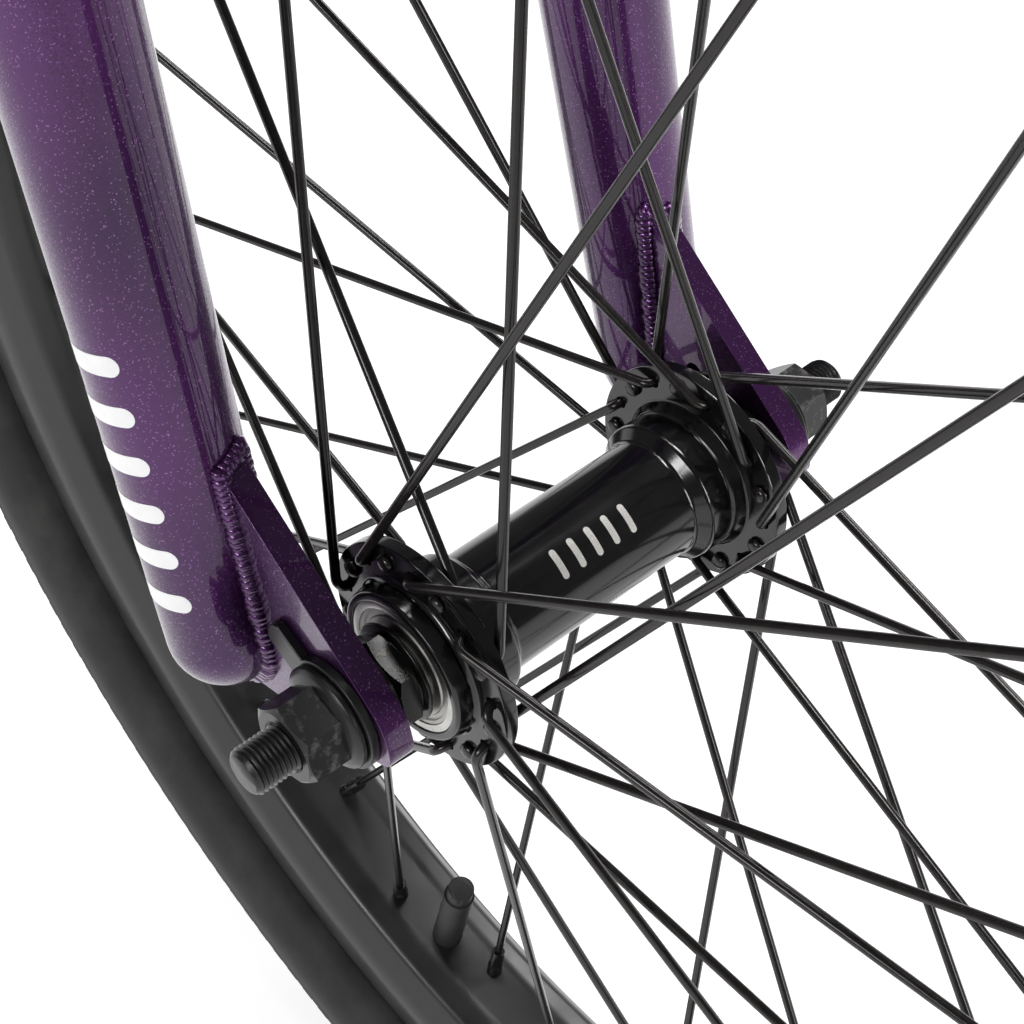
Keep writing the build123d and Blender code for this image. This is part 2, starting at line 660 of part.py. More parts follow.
def make_frame():
    """Main triangle, stays and dropouts, each tube mitred to what it meets."""
    head_core = rod(on_steerer(HEAD_BOTTOM), on_steerer(HEAD_TOP), HEAD_TUBE_R)
    shell_half = ACROSS * SHELL_HALF_WIDTH
    shell_core = rod(BRACKET - shell_half, BRACKET + shell_half, BRACKET_SHELL_R)
    seat_core = rod(BRACKET, on_seat_tube(SEAT_TUBE_LENGTH), SEAT_TUBE_R)

    head = head_core - rod(on_steerer(HEAD_BOTTOM - 1), on_steerer(HEAD_TOP + 1), 17.5)
    for low, high in ((HEAD_BOTTOM - 1, HEAD_BOTTOM + CUP_DEPTH), (HEAD_TOP - CUP_DEPTH, HEAD_TOP + 1)):
        head = head - rod(on_steerer(low), on_steerer(high), CUP_R + 0.02)
    shell = shell_core - rod(BRACKET - ACROSS * 40, BRACKET + ACROSS * 40, 18.5)
    for side in SIDES:
        outer = BRACKET + ACROSS * (side * 40)
        shell = shell - rod(BRACKET + ACROSS * (side * 24.8), outer, BRACKET_BEARING_R + 0.02)

    post_bore = rod(BRACKET, on_seat_tube(SEAT_TUBE_LENGTH + 1), POST_R + RUNNING_FIT)
    seat_tube = seat_core - post_bore - shell_core
    slot_start = SEAT_TUBE_LENGTH - 24
    slot = [(slot_start, -30.0), (slot_start, 0.0), (300.0, 0.0), (300.0, -30.0)]
    ahead_of_seat = Vector(SEAT_DIRECTION.Z, 0, -SEAT_DIRECTION.X)
    seat_tube = seat_tube - side_plate(slot, -1.5, 1.5, lambda a, b: on_seat_tube(a) + ahead_of_seat * b)

    top_start = on_steerer(TOP_TUBE_HEAD)
    top_end = on_seat_tube(TOP_TUBE_SEAT)
    top_line = (top_start - top_end).normalized()
    top_tube = tube(top_end + top_line * 5.0, top_start, TOP_TUBE_R) - head_core - seat_core
    down_tube = tube(BRACKET, on_steerer(DOWN_TUBE_HEAD), DOWN_TUBE_R) - head_core - shell_core - seat_core

    dropouts = [rear_dropout(side) for side in SIDES]
    chainstays = []
    seatstays = []
    for side, dropout in zip(SIDES, dropouts):
        route = [(15.0, 27.0), (72.0, 30.0), (128.0, 45.0), (STAY_LENGTH - 36.0, 57.5)]
        chainstay = stay(side, BRACKET, REAR_AXLE, route, CHAINSTAY_R)
        chainstays.append(chainstay - shell_core - dropout)
        start = on_seat_tube(SEATSTAY_JOINT)
        length = (REAR_AXLE - start).length
        route = [(0.0, 19.0), (60.0, 24.0), (125.0, 44.0), (length - 40.0, 58.0)]
        seatstay = stay(side, start, REAR_AXLE, route, SEATSTAY_R)
        seatstays.append(seatstay - seat_core - dropout)

    save("head_tube", head)
    save("bottom_bracket_shell", shell)
    save("seat_tube", seat_tube)
    save("top_tube", top_tube)
    save("down_tube", down_tube)
    save("chainstays", *chainstays)
    save("seatstays", *seatstays)
    save("rear_dropouts", *dropouts)


# ---------------------------------------------------------------- rear hub and driver
REAR_FLANGE_R = 28.0
REAR_HOLE_R = 24.5
RIGHT_FLANGE_Y = -27.0
LEFT_FLANGE_Y = 35.0
RATCHET_R = 17.2
DRIVER_BODY_R = 14.6
PAWLS = 4


def tooth_gap(angle, pitch_r, plane):
    """Space that one chain roller needs: a round seat that opens outwards."""
    seat_r = ROLLER_R + 0.33
    ray = Vector(cos(angle), sin(angle))
    side = Vector(-sin(angle), cos(angle))
    centre = ray * pitch_r
    mouth = ray * (pitch_r + 6.0)
    points = [centre + side * seat_r, mouth + side * 7.2, mouth - side * 7.2, centre - side * seat_r]
    flare = make_face(Polyline(*[(p.X, p.Y) for p in points], close=True))
    return plane * (flare + Pos(centre.X, centre.Y) * Circle(seat_r))


def toothed_disc(centre, teeth, pitch_r, thickness):
    """Chain wheel blank with its teeth, centred on the chain line."""
    middle = centre - ACROSS * (CHAIN_LINE + thickness / 2)
    plane = Plane(origin=middle, x_dir=CHAIN_AHEAD, z_dir=ACROSS)
    blank = plane * Circle(pitch_r + 3.0)
    for index in range(teeth):
        blank = blank - tooth_gap(2 * pi * index / teeth, pitch_r, plane)
    return extrude(blank, thickness, dir=ACROSS).solid()


def make_rear_hub(flange_holes):
    """Rear hub shell with its bearings, axle, spacers and nuts, and the driver with its pawls."""
    right = RIGHT_FLANGE_Y
    left = LEFT_FLANGE_Y
    half = FLANGE_THICKNESS / 2
    profile = [
        (right - half - 6.0, 21.0), (right - half, 21.4), (right - half, REAR_FLANGE_R),
        (right + half, REAR_FLANGE_R), (right + half, 20.0), (right + 8.0, 18.0), (left - 8.0, 17.0),
        (left - half, 19.0), (left - half, REAR_FLANGE_R), (left + half, REAR_FLANGE_R),
        (left + half, 17.6), (43.2, 16.8), (43.2, BEARING_R), (36.0, BEARING_R), (36.0, 10.5),
        (-17.0, 10.5), (-17.0, BEARING_R), (-24.2, BEARING_R), (-24.2, RATCHET_R),
        (right - half - 6.0, RATCHET_R),
    ]
    shell = spin(outline(*profile), REAR_AXLE)
    for hole in flange_holes:
        shell = shell - hole
    bearing_bore = REAR_AXLE_R + 0.06
    bearings = [
        ring(REAR_AXLE + ACROSS * 39.5, ACROSS, BEARING_R, bearing_bore, 6.8),
        ring(REAR_AXLE - ACROSS * 20.6, ACROSS, BEARING_R, bearing_bore, 6.8),
    ]
    spacer_bore = REAR_AXLE_R + 0.02
    spacers = [
        ring(REAR_AXLE + ACROSS * 49.25, ACROSS, 10.5, spacer_bore, 11.5),
        ring(REAR_AXLE - ACROSS * 53.1, ACROSS, 10.5, spacer_bore, 3.8),
    ]
    plate_end = REAR_DROPOUT_Y + REAR_DROPOUT_PLATE
    washer_end = plate_end + REAR_WASHER
    nuts = []
    for side in SIDES:
        washer_middle = REAR_AXLE + ACROSS * (side * (plate_end + REAR_WASHER / 2))
        spacers.append(ring(washer_middle, ACROSS, 14.5, spacer_bore, REAR_WASHER))
        nuts.append(axle_nut(REAR_AXLE, side, washer_end, REAR_AXLE_R, REAR_NUT_FLATS, REAR_NUT_HEIGHT))

    driver = rod(REAR_AXLE - ACROSS * 50.9, REAR_AXLE - ACROSS * 24.6, DRIVER_BODY_R)
    driver = driver + toothed_disc(REAR_AXLE, DRIVER_TEETH, DRIVER_PITCH_R, 3.0)
    driver = driver - rod(REAR_AXLE - ACROSS * 60, REAR_AXLE - ACROSS * 20, bearing_bore)
    pawls = []
    for index in range(PAWLS):
        angle = 2 * pi * (index + 0.5) / PAWLS
        centre = REAR_AXLE + Vector(cos(angle), 0, sin(angle)) * 13.4 - ACROSS * 33.8
        plane = Plane(origin=centre, x_dir=(cos(angle), 0, sin(angle)), z_dir=ACROSS)
        pawl = extrude(plane * Polygon((-1.8, -4.0), (1.6, -4.0), (3.0, 3.0), (-1.8, 3.6)), 7.0).solid()
        driver = driver - pawl
        pawls.append(pawl)
    save("rear_hub_shell", shell)
    save("rear_hub_bearings", *bearings)
    nut_end = washer_end + REAR_NUT_HEIGHT
    save("rear_axle", grooved_axle(REAR_AXLE, REAR_AXLE_LENGTH, REAR_AXLE_R, nut_end, 1.2))
    save("rear_axle_spacers", *spacers)
    save("rear_axle_nuts", *nuts)
    save("rear_driver", driver)
    save("driver_pawls", *pawls)


# ---------------------------------------------------------------- chain
PLATE_HALF_HEIGHT = 4.1
INNER_PLATE = (1.72, 2.9)
OUTER_PLATE = (3.0, 4.2)
PIN_R = 1.75


def chain_pins():
    """Centres of all chain pins in the plane of the chain, in order around the loop."""
    half_wrap = SPROCKET_WRAP * pi / SPROCKET_TEETH
    sprocket_step = 2 * pi / SPROCKET_TEETH
    driver_step = 2 * pi / DRIVER_TEETH
    driver_start = pi - DRIVER_WRAP * driver_step / 2
    front = [-half_wrap + i * sprocket_step for i in range(SPROCKET_WRAP + 1)]
    back = [driver_start + i * driver_step for i in range(DRIVER_WRAP + 1)]
    arc_front = [(STAY_LENGTH + SPROCKET_PITCH_R * cos(a), SPROCKET_PITCH_R * sin(a)) for a in front]
    arc_back = [(DRIVER_PITCH_R * cos(a), DRIVER_PITCH_R * sin(a)) for a in back]
    pins = list(arc_front)
    pins += run_between(arc_front[-1], arc_back[0])
    pins += arc_back
    pins += run_between(arc_back[-1], arc_front[0])
    return pins


def run_between(start, end):
    """Pins on a straight run, without the two that end it."""
    span = range(1, RUN_LINKS)
    return [
        (start[0] + (end[0] - start[0]) * i / RUN_LINKS, start[1] + (end[1] - start[1]) * i / RUN_LINKS)
        for i in span
    ]


def chain_link(first, second, plates, core_r, bore_r):
    """Two side plates joined at both pins; core_r is the pin or the roller between them."""
    start = from_rear(*first, -CHAIN_LINE)
    end = from_rear(*second, -CHAIN_LINE)
    near, far = plates
    link = None
    for side in SIDES:
        plane = Plane(origin=start + ACROSS * (side * near), x_dir=end - start, z_dir=ACROSS * side)
        slot = Pos(CHAIN_PITCH / 2, 0) * SlotCenterToCenter(CHAIN_PITCH, 2 * PLATE_HALF_HEIGHT)
        plate = extrude(plane * slot, far - near).solid()
        link = plate if link is None else link + plate
    reach = far + (0.4 if bore_r == 0.0 else 0.0)
    for pin in (start, end):
        link = link + rod(pin - ACROSS * reach, pin + ACROSS * reach, core_r)
        if bore_r:
            link = link - rod(pin - ACROSS * 6, pin + ACROSS * 6, bore_r)
    return link


def make_chain():
    """Closed chain whose rollers rest in the tooth gaps of both chain wheels."""
    pins = chain_pins()
    inner = []
    outer = []
    for index, pin in enumerate(pins):
        following = pins[(index + 1) % len(pins)]
        if index % 2:
            outer.append(chain_link(pin, following, OUTER_PLATE, PIN_R, 0.0))
        else:
            inner.append(chain_link(pin, following, INNER_PLATE, ROLLER_R, PIN_R + 0.1))
    save("chain_inner_links", *inner)
    save("chain_outer_links", *outer)


# ---------------------------------------------------------------- crankset
SPACER_END = 47.8
ARM_BOSS_R = 17.0
PEDAL_BOSS_R = 13.0
PEDAL_BOSS_HALF = 10.5
SPROCKET_HOLES = 7


def crank_end(side):
    """Where a pedal's axle crosses its crank arm; the right arm points forward."""
    return BRACKET + Vector(-side * CRANK_LENGTH, 0, 0) + ACROSS * (side * CRANK_OUTER)


def crank_arm(side):
    """Tubular arm between the spindle's boss and the pedal's boss."""
    root = BRACKET + ACROSS * (side * CRANK_INNER)
    tip = crank_end(side)
    boss_start = BRACKET + ACROSS * (side * (CRANK_INNER - 11.0))
    boss_end = BRACKET + ACROSS * (side * (CRANK_INNER + 11.0))
    half = ACROSS * (side * PEDAL_BOSS_HALF)
    arm = rod(root, tip, 12.0, 10.2) + rod(boss_start, boss_end, ARM_BOSS_R)
    arm = arm + rod(tip - half, tip + half, PEDAL_BOSS_R)
    arm = arm - rod(boss_start - ACROSS * side, boss_end + ACROSS * side, SPINDLE_R)
    return arm - rod(tip - half * 1.2, tip + half * 1.2, 7.1)


def make_crankset():
    """Spindle with spacers, arms, sprocket, bolts and the axles of both pedals."""
    reach = CRANK_INNER + 10.0
    spindle = rod(BRACKET - ACROSS * reach, BRACKET + ACROSS * reach, SPINDLE_R)
    spacers = []
    left_start = BRACKET + ACROSS * (SHELL_HALF_WIDTH + 0.4)
    left_end = BRACKET + ACROSS * SPACER_END
    spacers.append(rod(left_start, left_end, 12.5) - spindle)
    right_start = BRACKET - ACROSS * (SHELL_HALF_WIDTH + 0.4)
    spacers.append(rod(right_start, BRACKET - ACROSS * 36.5, 12.5) - spindle)
    sprocket = toothed_disc(BRACKET, SPROCKET_TEETH, SPROCKET_PITCH_R, 3.0)
    sprocket = sprocket + rod(BRACKET - ACROSS * SPACER_END, BRACKET - ACROSS * 36.7, 17.0) - spindle
    for index in range(SPROCKET_HOLES):
        angle = 2 * pi * (index + 0.5) / SPROCKET_HOLES
        centre = BRACKET + Vector(cos(angle), 0, sin(angle)) * 36.5
        sprocket = sprocket - rod(centre - ACROSS * 60, centre - ACROSS * 30, 11.0)

    arms = [crank_arm(side) for side in SIDES]
    bolts = []
    for side in SIDES:
        end = BRACKET + ACROSS * (side * reach)
        head_end = BRACKET + ACROSS * (side * (reach + 5.0))
        inward = BRACKET + ACROSS * (side * (reach - 18.0))
        key = hexagon(end + ACROSS * side, head_end + ACROSS * side, 8.0)
        bolt = rod(end, head_end, 14.0) + rod(inward, end, 5.0) - key
        spindle = spindle - rod(inward, end + ACROSS * side, 5.0)
        arms = [arm - rod(end, head_end, 14.0) for arm in arms]
        bolts.append(bolt)
    drive = BRACKET + Vector(26.0, 0, 0)
    drive_bolt = rod(drive - ACROSS * 73.5, drive - ACROSS * 42.5, 4.0)
    drive_bolt = drive_bolt + rod(drive - ACROSS * 76.5, drive - ACROSS * 73.0, 6.5)
    sprocket = sprocket - drive_bolt
    arms = [arm - drive_bolt for arm in arms]
    bolts.append(drive_bolt)

    bearings = [
        ring(BRACKET + ACROSS * (side * 29.6), ACROSS, BRACKET_BEARING_R, SPINDLE_R + RUNNING_FIT, 8.8)
        for side in SIDES
    ]
    save("crank_spindle", spindle, *spacers)
    save("bottom_bracket_bearings", *bearings)
    save("chain_sprocket", sprocket)
    save("crank_arms", *arms)
    save("crank_bolts", *bolts)
    save("pedal_axles", *[pedal_axle(side) for side in SIDES])


# ---------------------------------------------------------------- pedals
PEDAL_START = 13.5
PEDAL_WIDTH = 98.0
PEDAL_LENGTH = 94.0
PEDAL_HEIGHT = 16.0
PEDAL_CORE_R = 10.5


def pedal_axle(side):
    """Axle screwed into the crank arm; the pedal turns on its tapered part."""
    centre = crank_end(side)
    out = ACROSS * side
    thread = rod(centre - out * PEDAL_BOSS_HALF, centre + out * PEDAL_BOSS_HALF, 7.1)
    collar = hexagon(centre + out * PEDAL_BOSS_HALF, centre + out * 13.0, 15.0)
    journal = rod(centre + out * 13.0, centre + out * 60.0, 6.0)
    journal = journal + rod(centre + out * 60.0, centre + out * 104.0, 4.5)
    return thread + collar + journal


def pedal_body(side):
    """Plastic platform with four windows, a round core and grip pins on both faces."""
    out = ACROSS * side
    centre = crank_end(side) + out * (PEDAL_START + PEDAL_WIDTH / 2)
    plane = Plane(origin=centre, x_dir=(1, 0, 0), z_dir=(0, 0, 1))
    frame_face = RectangleRounded(PEDAL_LENGTH, PEDAL_WIDTH, 12.0)
    for x in SIDES:
        for y in SIDES:
            frame_face = frame_face - Pos(x * 27.0, y * 23.0) * RectangleRounded(25.0, 34.0, 5.0)
    body = extrude(plane.offset(-PEDAL_HEIGHT / 2) * frame_face, PEDAL_HEIGHT).solid()
    core_start = crank_end(side) + out * PEDAL_START
    core_end = core_start + out * PEDAL_WIDTH
    body = body + rod(core_start, core_end, PEDAL_CORE_R)
    pins = [(x, y) for x in (-42.0, 42.0) for y in (-36.0, -12.0, 12.0, 36.0)]
    pins += [(x, y) for x in (-22.0, 22.0) for y in (-44.0, 44.0)]
    for x, y in pins:
        for face in SIDES:
            foot = centre + Vector(x, y, face * (PEDAL_HEIGHT / 2 - 2.0))
            body = body + rod(foot, foot + Vector(0, 0, face * 5.5), 1.6)
    body = body - rod(core_start - out, crank_end(side) + out * 61.0, 6.06)
    return body - rod(crank_end(side) + out * 60.0, crank_end(side) + out * 105.0, 4.56)


def make_pedals():
    """Right and left pedal, each turning on its own axle."""
    save("right_pedal", pedal_body(-1))
    save("left_pedal", pedal_body(1))


# ---------------------------------------------------------------- seat
PIVOT_R = 17.0
PIVOT_HALF_WIDTH = 12.5
BASE_HEIGHT = 14.0
BASE_THICKNESS = 6.0
COVER_HEIGHT = 24.0


def seat_outline(inset):
    """Plan of the seat: a slim nose that widens to a rounded tail."""
    nose = SEAT_LENGTH * 0.48 - inset
    tail = -SEAT_LENGTH * 0.52 + inset
    half = SEAT_WIDTH / 2 - inset
    points = [(nose, 0), (nose * 0.93, half * 0.24), (nose * 0.35, half * 0.4), (-20, half * 0.62),
              (tail * 0.62, half * 0.93), (tail * 0.88, half * 0.96), (tail, half * 0.45)]
    closed = points + [(x, -y) for x, y in reversed(points[1:])]
    return make_face(Spline(*closed, periodic=True))


def make_seat():
    """Seat post with its pivot head, seat base, padded cover, clamp and bolts."""
    pivot = on_seat_tube(SEAT_TUBE_LENGTH + POST_SHOWN)
    tilt = radians(SEAT_TILT)
    level = Plane(origin=pivot, x_dir=(cos(tilt), 0, sin(tilt)), z_dir=(-sin(tilt), 0, cos(tilt)))
    up = Vector(-sin(tilt), 0, cos(tilt))
    half = ACROSS * PIVOT_HALF_WIDTH
    head = rod(pivot - half, pivot + half, PIVOT_R)
    post = tube(on_seat_tube(SEAT_TUBE_LENGTH - 128), pivot - SEAT_DIRECTION * 8, POST_R, 2.2) + head
    sweep_angle = radians(16)
    fan_reach = PIVOT_R + 4
    fan = [(0, -4.4), (fan_reach * cos(sweep_angle), -fan_reach * sin(sweep_angle) - 4.4),
           (fan_reach * cos(sweep_angle), fan_reach * sin(sweep_angle) + 4.4), (0, 4.4)]
    forward = Vector(cos(tilt), 0, sin(tilt))
    post = post - side_plate(fan, -4.4, 4.4, lambda a, b: pivot + up * a + forward * b)

    base = extrude(level.offset(BASE_HEIGHT) * seat_outline(3.0), BASE_THICKNESS).solid()
    block = extrude(level.offset(BASE_HEIGHT - 10) * Rectangle(46, 34), 11.0).solid()
    socket = rod(pivot - half * 1.5, pivot + half * 1.5, PIVOT_R + 0.25)
    base = base + block - socket
    floor = BASE_HEIGHT + BASE_THICKNESS
    layers = [(floor, 1.5), (floor + COVER_HEIGHT * 0.55, 0.0), (floor + COVER_HEIGHT, 13.0)]
    cover = loft([level.offset(height) * seat_outline(inset) for height, inset in layers]).solid()
    well = rod(pivot + up * 10, pivot + up * 60, 7.0)
    cover = cover - well
    bolt = rod(pivot + up * 3, pivot + up * 22, 4.0) + rod(pivot + up * 22, pivot + up * 28, 6.5)
    bolt = bolt - hexagon(pivot + up * 24, pivot + up * 29, 6.0)
    bolt_way = rod(pivot, pivot + up * 60, 4.05) + rod(pivot + up * 22, pivot + up * 60, 6.6)
    base = base - bolt_way

    clamp_low = on_seat_tube(SEAT_TUBE_LENGTH - 13)
    clamp_high = on_seat_tube(SEAT_TUBE_LENGTH + 2)
    clamp = rod(clamp_low, clamp_high, SEAT_TUBE_R + 3.4)
    behind = Vector(-SEAT_DIRECTION.Z, 0, SEAT_DIRECTION.X)
    ears = [(-13.0, 14.0), (-13.0, 29.0), (2.0, 29.0), (2.0, 14.0)]

    def on_clamp(along, back):
        return on_seat_tube(SEAT_TUBE_LENGTH + along) + behind * back

    clamp = clamp + side_plate(ears, -9.0, 9.0, on_clamp, 2.0)
    bore_start = on_seat_tube(SEAT_TUBE_LENGTH - 20)
    clamp = clamp - rod(bore_start, on_seat_tube(SEAT_TUBE_LENGTH), SEAT_TUBE_R + 0.02)
    clamp = clamp - rod(bore_start, on_seat_tube(SEAT_TUBE_LENGTH + 9), POST_R + RUNNING_FIT)
    clamp = clamp - side_plate([(-20, 10), (-20, 40), (9, 40), (9, 10)], -1.4, 1.4, on_clamp)
    bolt_point = on_clamp(-5.5, 24.0)
    clamp_bolt = rod(bolt_point - ACROSS * 9, bolt_point + ACROSS * 9, 2.4)
    clamp_bolt = clamp_bolt + rod(bolt_point + ACROSS * 9, bolt_point + ACROSS * 13, 4.2)
    clamp_bolt = clamp_bolt - hexagon(bolt_point + ACROSS * 10.5, bolt_point + ACROSS * 14, 4.0)
    save("seat_post", post)
    save("seat_base", base)
    save("seat_cover", cover)
    save("seat_bolt", bolt)
    save("seat_clamp", clamp - clamp_bolt)
    save("seat_clamp_bolt", clamp_bolt)


# ---------------------------------------------------------------- whole bike
def main():
    """Write every sub-part."""
    os.makedirs("parts", exist_ok=True)
    front_flange = FRONT_FLANGE_Y - FLANGE_THICKNESS / 2
    front_flanges = ((-front_flange, FRONT_HOLE_R), (front_flange, FRONT_HOLE_R))
    rear_flanges = ((RIGHT_FLANGE_Y, REAR_HOLE_R), (LEFT_FLANGE_Y, REAR_HOLE_R))
    make_front_hub(make_wheel("front", FRONT_AXLE, front_flanges))
    make_rear_hub(make_wheel("rear", REAR_AXLE, rear_flanges))
    make_frame()
    make_fork()
    make_headset()
    make_stem()
    make_bars()
    make_crankset()
    make_chain()
    make_pedals()
    make_seat()


main()
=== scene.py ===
"""Looks of a twenty-inch BMX bike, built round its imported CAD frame. Lengths are metres; +X is forward."""
import bmesh
import bpy
import json
import logging
from dataclasses import dataclass
from enum import Enum
from functools import lru_cache
from math import atan2, cos, degrees, exp, pi, radians, sin, sqrt, tan
from typing import Callable, Iterable, Optional, Sequence

from mathutils import Matrix, Quaternion, Vector
from mathutils.bvhtree import BVHTree


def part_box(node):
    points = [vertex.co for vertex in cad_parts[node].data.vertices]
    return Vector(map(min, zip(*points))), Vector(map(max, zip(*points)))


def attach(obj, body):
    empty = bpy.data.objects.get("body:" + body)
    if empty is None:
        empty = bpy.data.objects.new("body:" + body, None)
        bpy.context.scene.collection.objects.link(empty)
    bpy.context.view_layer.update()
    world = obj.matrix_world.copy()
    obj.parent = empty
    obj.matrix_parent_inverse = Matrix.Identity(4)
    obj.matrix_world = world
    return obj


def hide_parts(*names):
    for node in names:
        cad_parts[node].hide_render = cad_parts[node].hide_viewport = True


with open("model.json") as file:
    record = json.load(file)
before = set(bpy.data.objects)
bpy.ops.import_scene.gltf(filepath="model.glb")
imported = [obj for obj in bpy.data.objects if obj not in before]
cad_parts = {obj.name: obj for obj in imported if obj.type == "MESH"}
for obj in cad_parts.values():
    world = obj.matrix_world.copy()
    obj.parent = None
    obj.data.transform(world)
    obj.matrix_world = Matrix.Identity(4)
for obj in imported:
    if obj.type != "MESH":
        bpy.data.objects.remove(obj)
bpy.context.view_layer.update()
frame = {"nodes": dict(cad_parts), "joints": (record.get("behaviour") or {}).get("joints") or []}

log = logging.getLogger("bmx")
MM = 0.001
SIDES = (-1, 1)
ACROSS = Vector((0.0, 1.0, 0.0))
UP = Vector((0.0, 0.0, 1.0))
Points = Sequence[Vector]
Profile = Sequence[tuple[float, float]]


# ---------------------------------------------------------------- shader graph
class Graph:
    """Short-hand for building one node tree of a material."""

    def __init__(self, name: str) -> None:
        """Start an empty material with an output."""
        self.material = bpy.data.materials.new(name)
        self.material.use_nodes = True
        self.tree = self.material.node_tree
        self.tree.nodes.clear()
        self.output = self.tree.nodes.new("ShaderNodeOutputMaterial")

    def node(self, kind: str, inputs: Optional[dict] = None, **settings: object) -> bpy.types.Node:
        """Add a node.

        Args:
            kind: The node's type, without its ShaderNode prefix.
            inputs: Socket name or index to a value, or to another node's output.
            settings: Properties of the node itself.

        Returns:
            The new node.
        """
        made = self.tree.nodes.new("ShaderNode" + kind)
        for key, value in settings.items():
            setattr(made, key, value)
        for key, value in (inputs or {}).items():
            if isinstance(value, bpy.types.NodeSocket):
                self.tree.links.new(value, made.inputs[key])
            else:
                made.inputs[key].default_value = value
        return made

    def place(self) -> bpy.types.NodeSocket:
        """Object coordinates, which are the bike's own coordinates in metres."""
        return self.node("TexCoord").outputs["Object"]

    def math(self, operation: str, *values: object) -> bpy.types.NodeSocket:
        """One arithmetic step."""
        return self.node("Math", dict(enumerate(values)), operation=operation).outputs[0]

    def noise(self, scale: float, detail: float = 3.0, where: Optional[bpy.types.NodeSocket] = None,
              roughness: float = 0.5) -> bpy.types.NodeSocket:
        """Noise value between 0 and 1."""
        inputs = {"Vector": where or self.place(), "Scale": scale, "Detail": detail, "Roughness": roughness}
        return self.node("TexNoise", inputs).outputs["Fac"]

    def ramp(self, value: bpy.types.NodeSocket, stops: Sequence[tuple[float, Sequence[float]]]
             ) -> bpy.types.NodeSocket:
        """Colour ramp through the given stops."""
        made = self.node("ValToRGB", {"Fac": value})
        elements = made.color_ramp.elements
        while len(elements) < len(stops):
            elements.new(0.5)
        for element, (position, color) in zip(elements, stops):
            element.position = position
            element.color = (*color, 1.0)
        return made.outputs["Color"]

    def spread(self, value: bpy.types.NodeSocket, low: float, high: float) -> bpy.types.NodeSocket:
        """Stretch a 0 to 1 value over low to high."""
        return self.node("MapRange", {"Value": value, "To Min": low, "To Max": high}).outputs["Result"]

    def bump(self, height: bpy.types.NodeSocket, distance: float, strength: float = 1.0,
             below: Optional[bpy.types.NodeSocket] = None) -> bpy.types.NodeSocket:
        """Surface normal tilted by a height."""
        inputs = {"Height": height, "Distance": distance, "Strength": strength}
        if below is not None:
            inputs["Normal"] = below
        return self.node("Bump", inputs).outputs["Normal"]

    def finish(self, inputs: dict) -> bpy.types.Material:
        """Close the graph with a Principled surface."""
        surface = self.node("BsdfPrincipled", inputs)
        self.tree.links.new(surface.outputs[0], self.output.inputs["Surface"])
        return self.material


def rgb(red: float, green: float, blue: float) -> tuple[float, float, float, float]:
    """Colour for a shader socket."""
    return (red, green, blue, 1.0)


# ---------------------------------------------------------------- finishes
@dataclass(frozen=True)
class CandyPaint:
    """Deep candy lacquer over a metallic base with fine flake."""

    name: str = "candy_paint"
    shade: tuple[float, float, float] = (0.034, 0.005, 0.052)
    glow: tuple[float, float, float] = (0.085, 0.018, 0.115)
    flake_size: float = 0.2 * MM
    flake_tilt: float = 0.2

    def build(self) -> bpy.types.Material:
        """Return the material."""
        g = Graph(self.name)
        cells = g.node("TexVoronoi", {"Vector": g.place(), "Scale": 1.0 / self.flake_size, "Randomness": 1.0})
        tint = g.ramp(g.noise(14.0, 2.0), [(0.35, self.shade), (0.72, self.glow)])
        glint = g.node("SeparateColor", {"Color": cells.outputs["Color"]}).outputs["Red"]
        sparkle = g.math("GREATER_THAN", glint, 0.965)
        bright = g.node("Mix", {0: g.math("MULTIPLY", sparkle, 0.3), 6: tint, 7: rgb(0.62, 0.3, 0.72)},
                        data_type="RGBA").outputs[2]
        centred = g.node("VectorMath", {0: cells.outputs["Color"], 1: (0.5, 0.5, 0.5)}, operation="SUBTRACT")
        scaled = g.node("VectorMath", {0: centred.outputs[0], "Scale": self.flake_tilt}, operation="SCALE")
        normal = g.node("NewGeometry").outputs["Normal"]
        tilted = g.node("VectorMath", {0: normal, 1: scaled.outputs[0]}, operation="ADD")
        flake = g.node("VectorMath", {0: tilted.outputs[0]}, operation="NORMALIZE").outputs[0]
        peel = g.bump(g.noise(160.0, 1.0), 0.05 * MM, 0.25)
        return g.finish({"Base Color": bright, "Metallic": 0.85, "Roughness": 0.33, "Normal": flake,
                         "Coat Weight": 0.8, "Coat Roughness": 0.04, "Coat IOR": 1.45, "Coat Normal": peel})


@dataclass(frozen=True)
class PolishedAnodising:
    """Turned and polished alloy under black anodising."""

    name: str = "polished_anodising"
    color: tuple[float, float, float] = (0.004, 0.004, 0.0045)
    roughness: float = 0.12
    turning: float = 9000.0

    def build(self) -> bpy.types.Material:
        """Return the material."""
        g = Graph(self.name)
        lathe = g.node("Mapping", {"Vector": g.place(), "Scale": (60.0, self.turning, 60.0)}).outputs[0]
        lines = g.noise(1.0, 2.0, lathe)
        smudge = g.noise(90.0, 3.0)
        tone = g.ramp(smudge, [(0.3, self.color), (0.8, tuple(c * 1.7 for c in self.color))])
        return g.finish({"Base Color": tone, "Metallic": 0.1,
                         "Roughness": g.spread(smudge, self.roughness * 0.75, self.roughness * 1.5),
                         "Specular IOR Level": 0.55,
                         "Normal": g.bump(lines, 0.006 * MM, 0.35)})


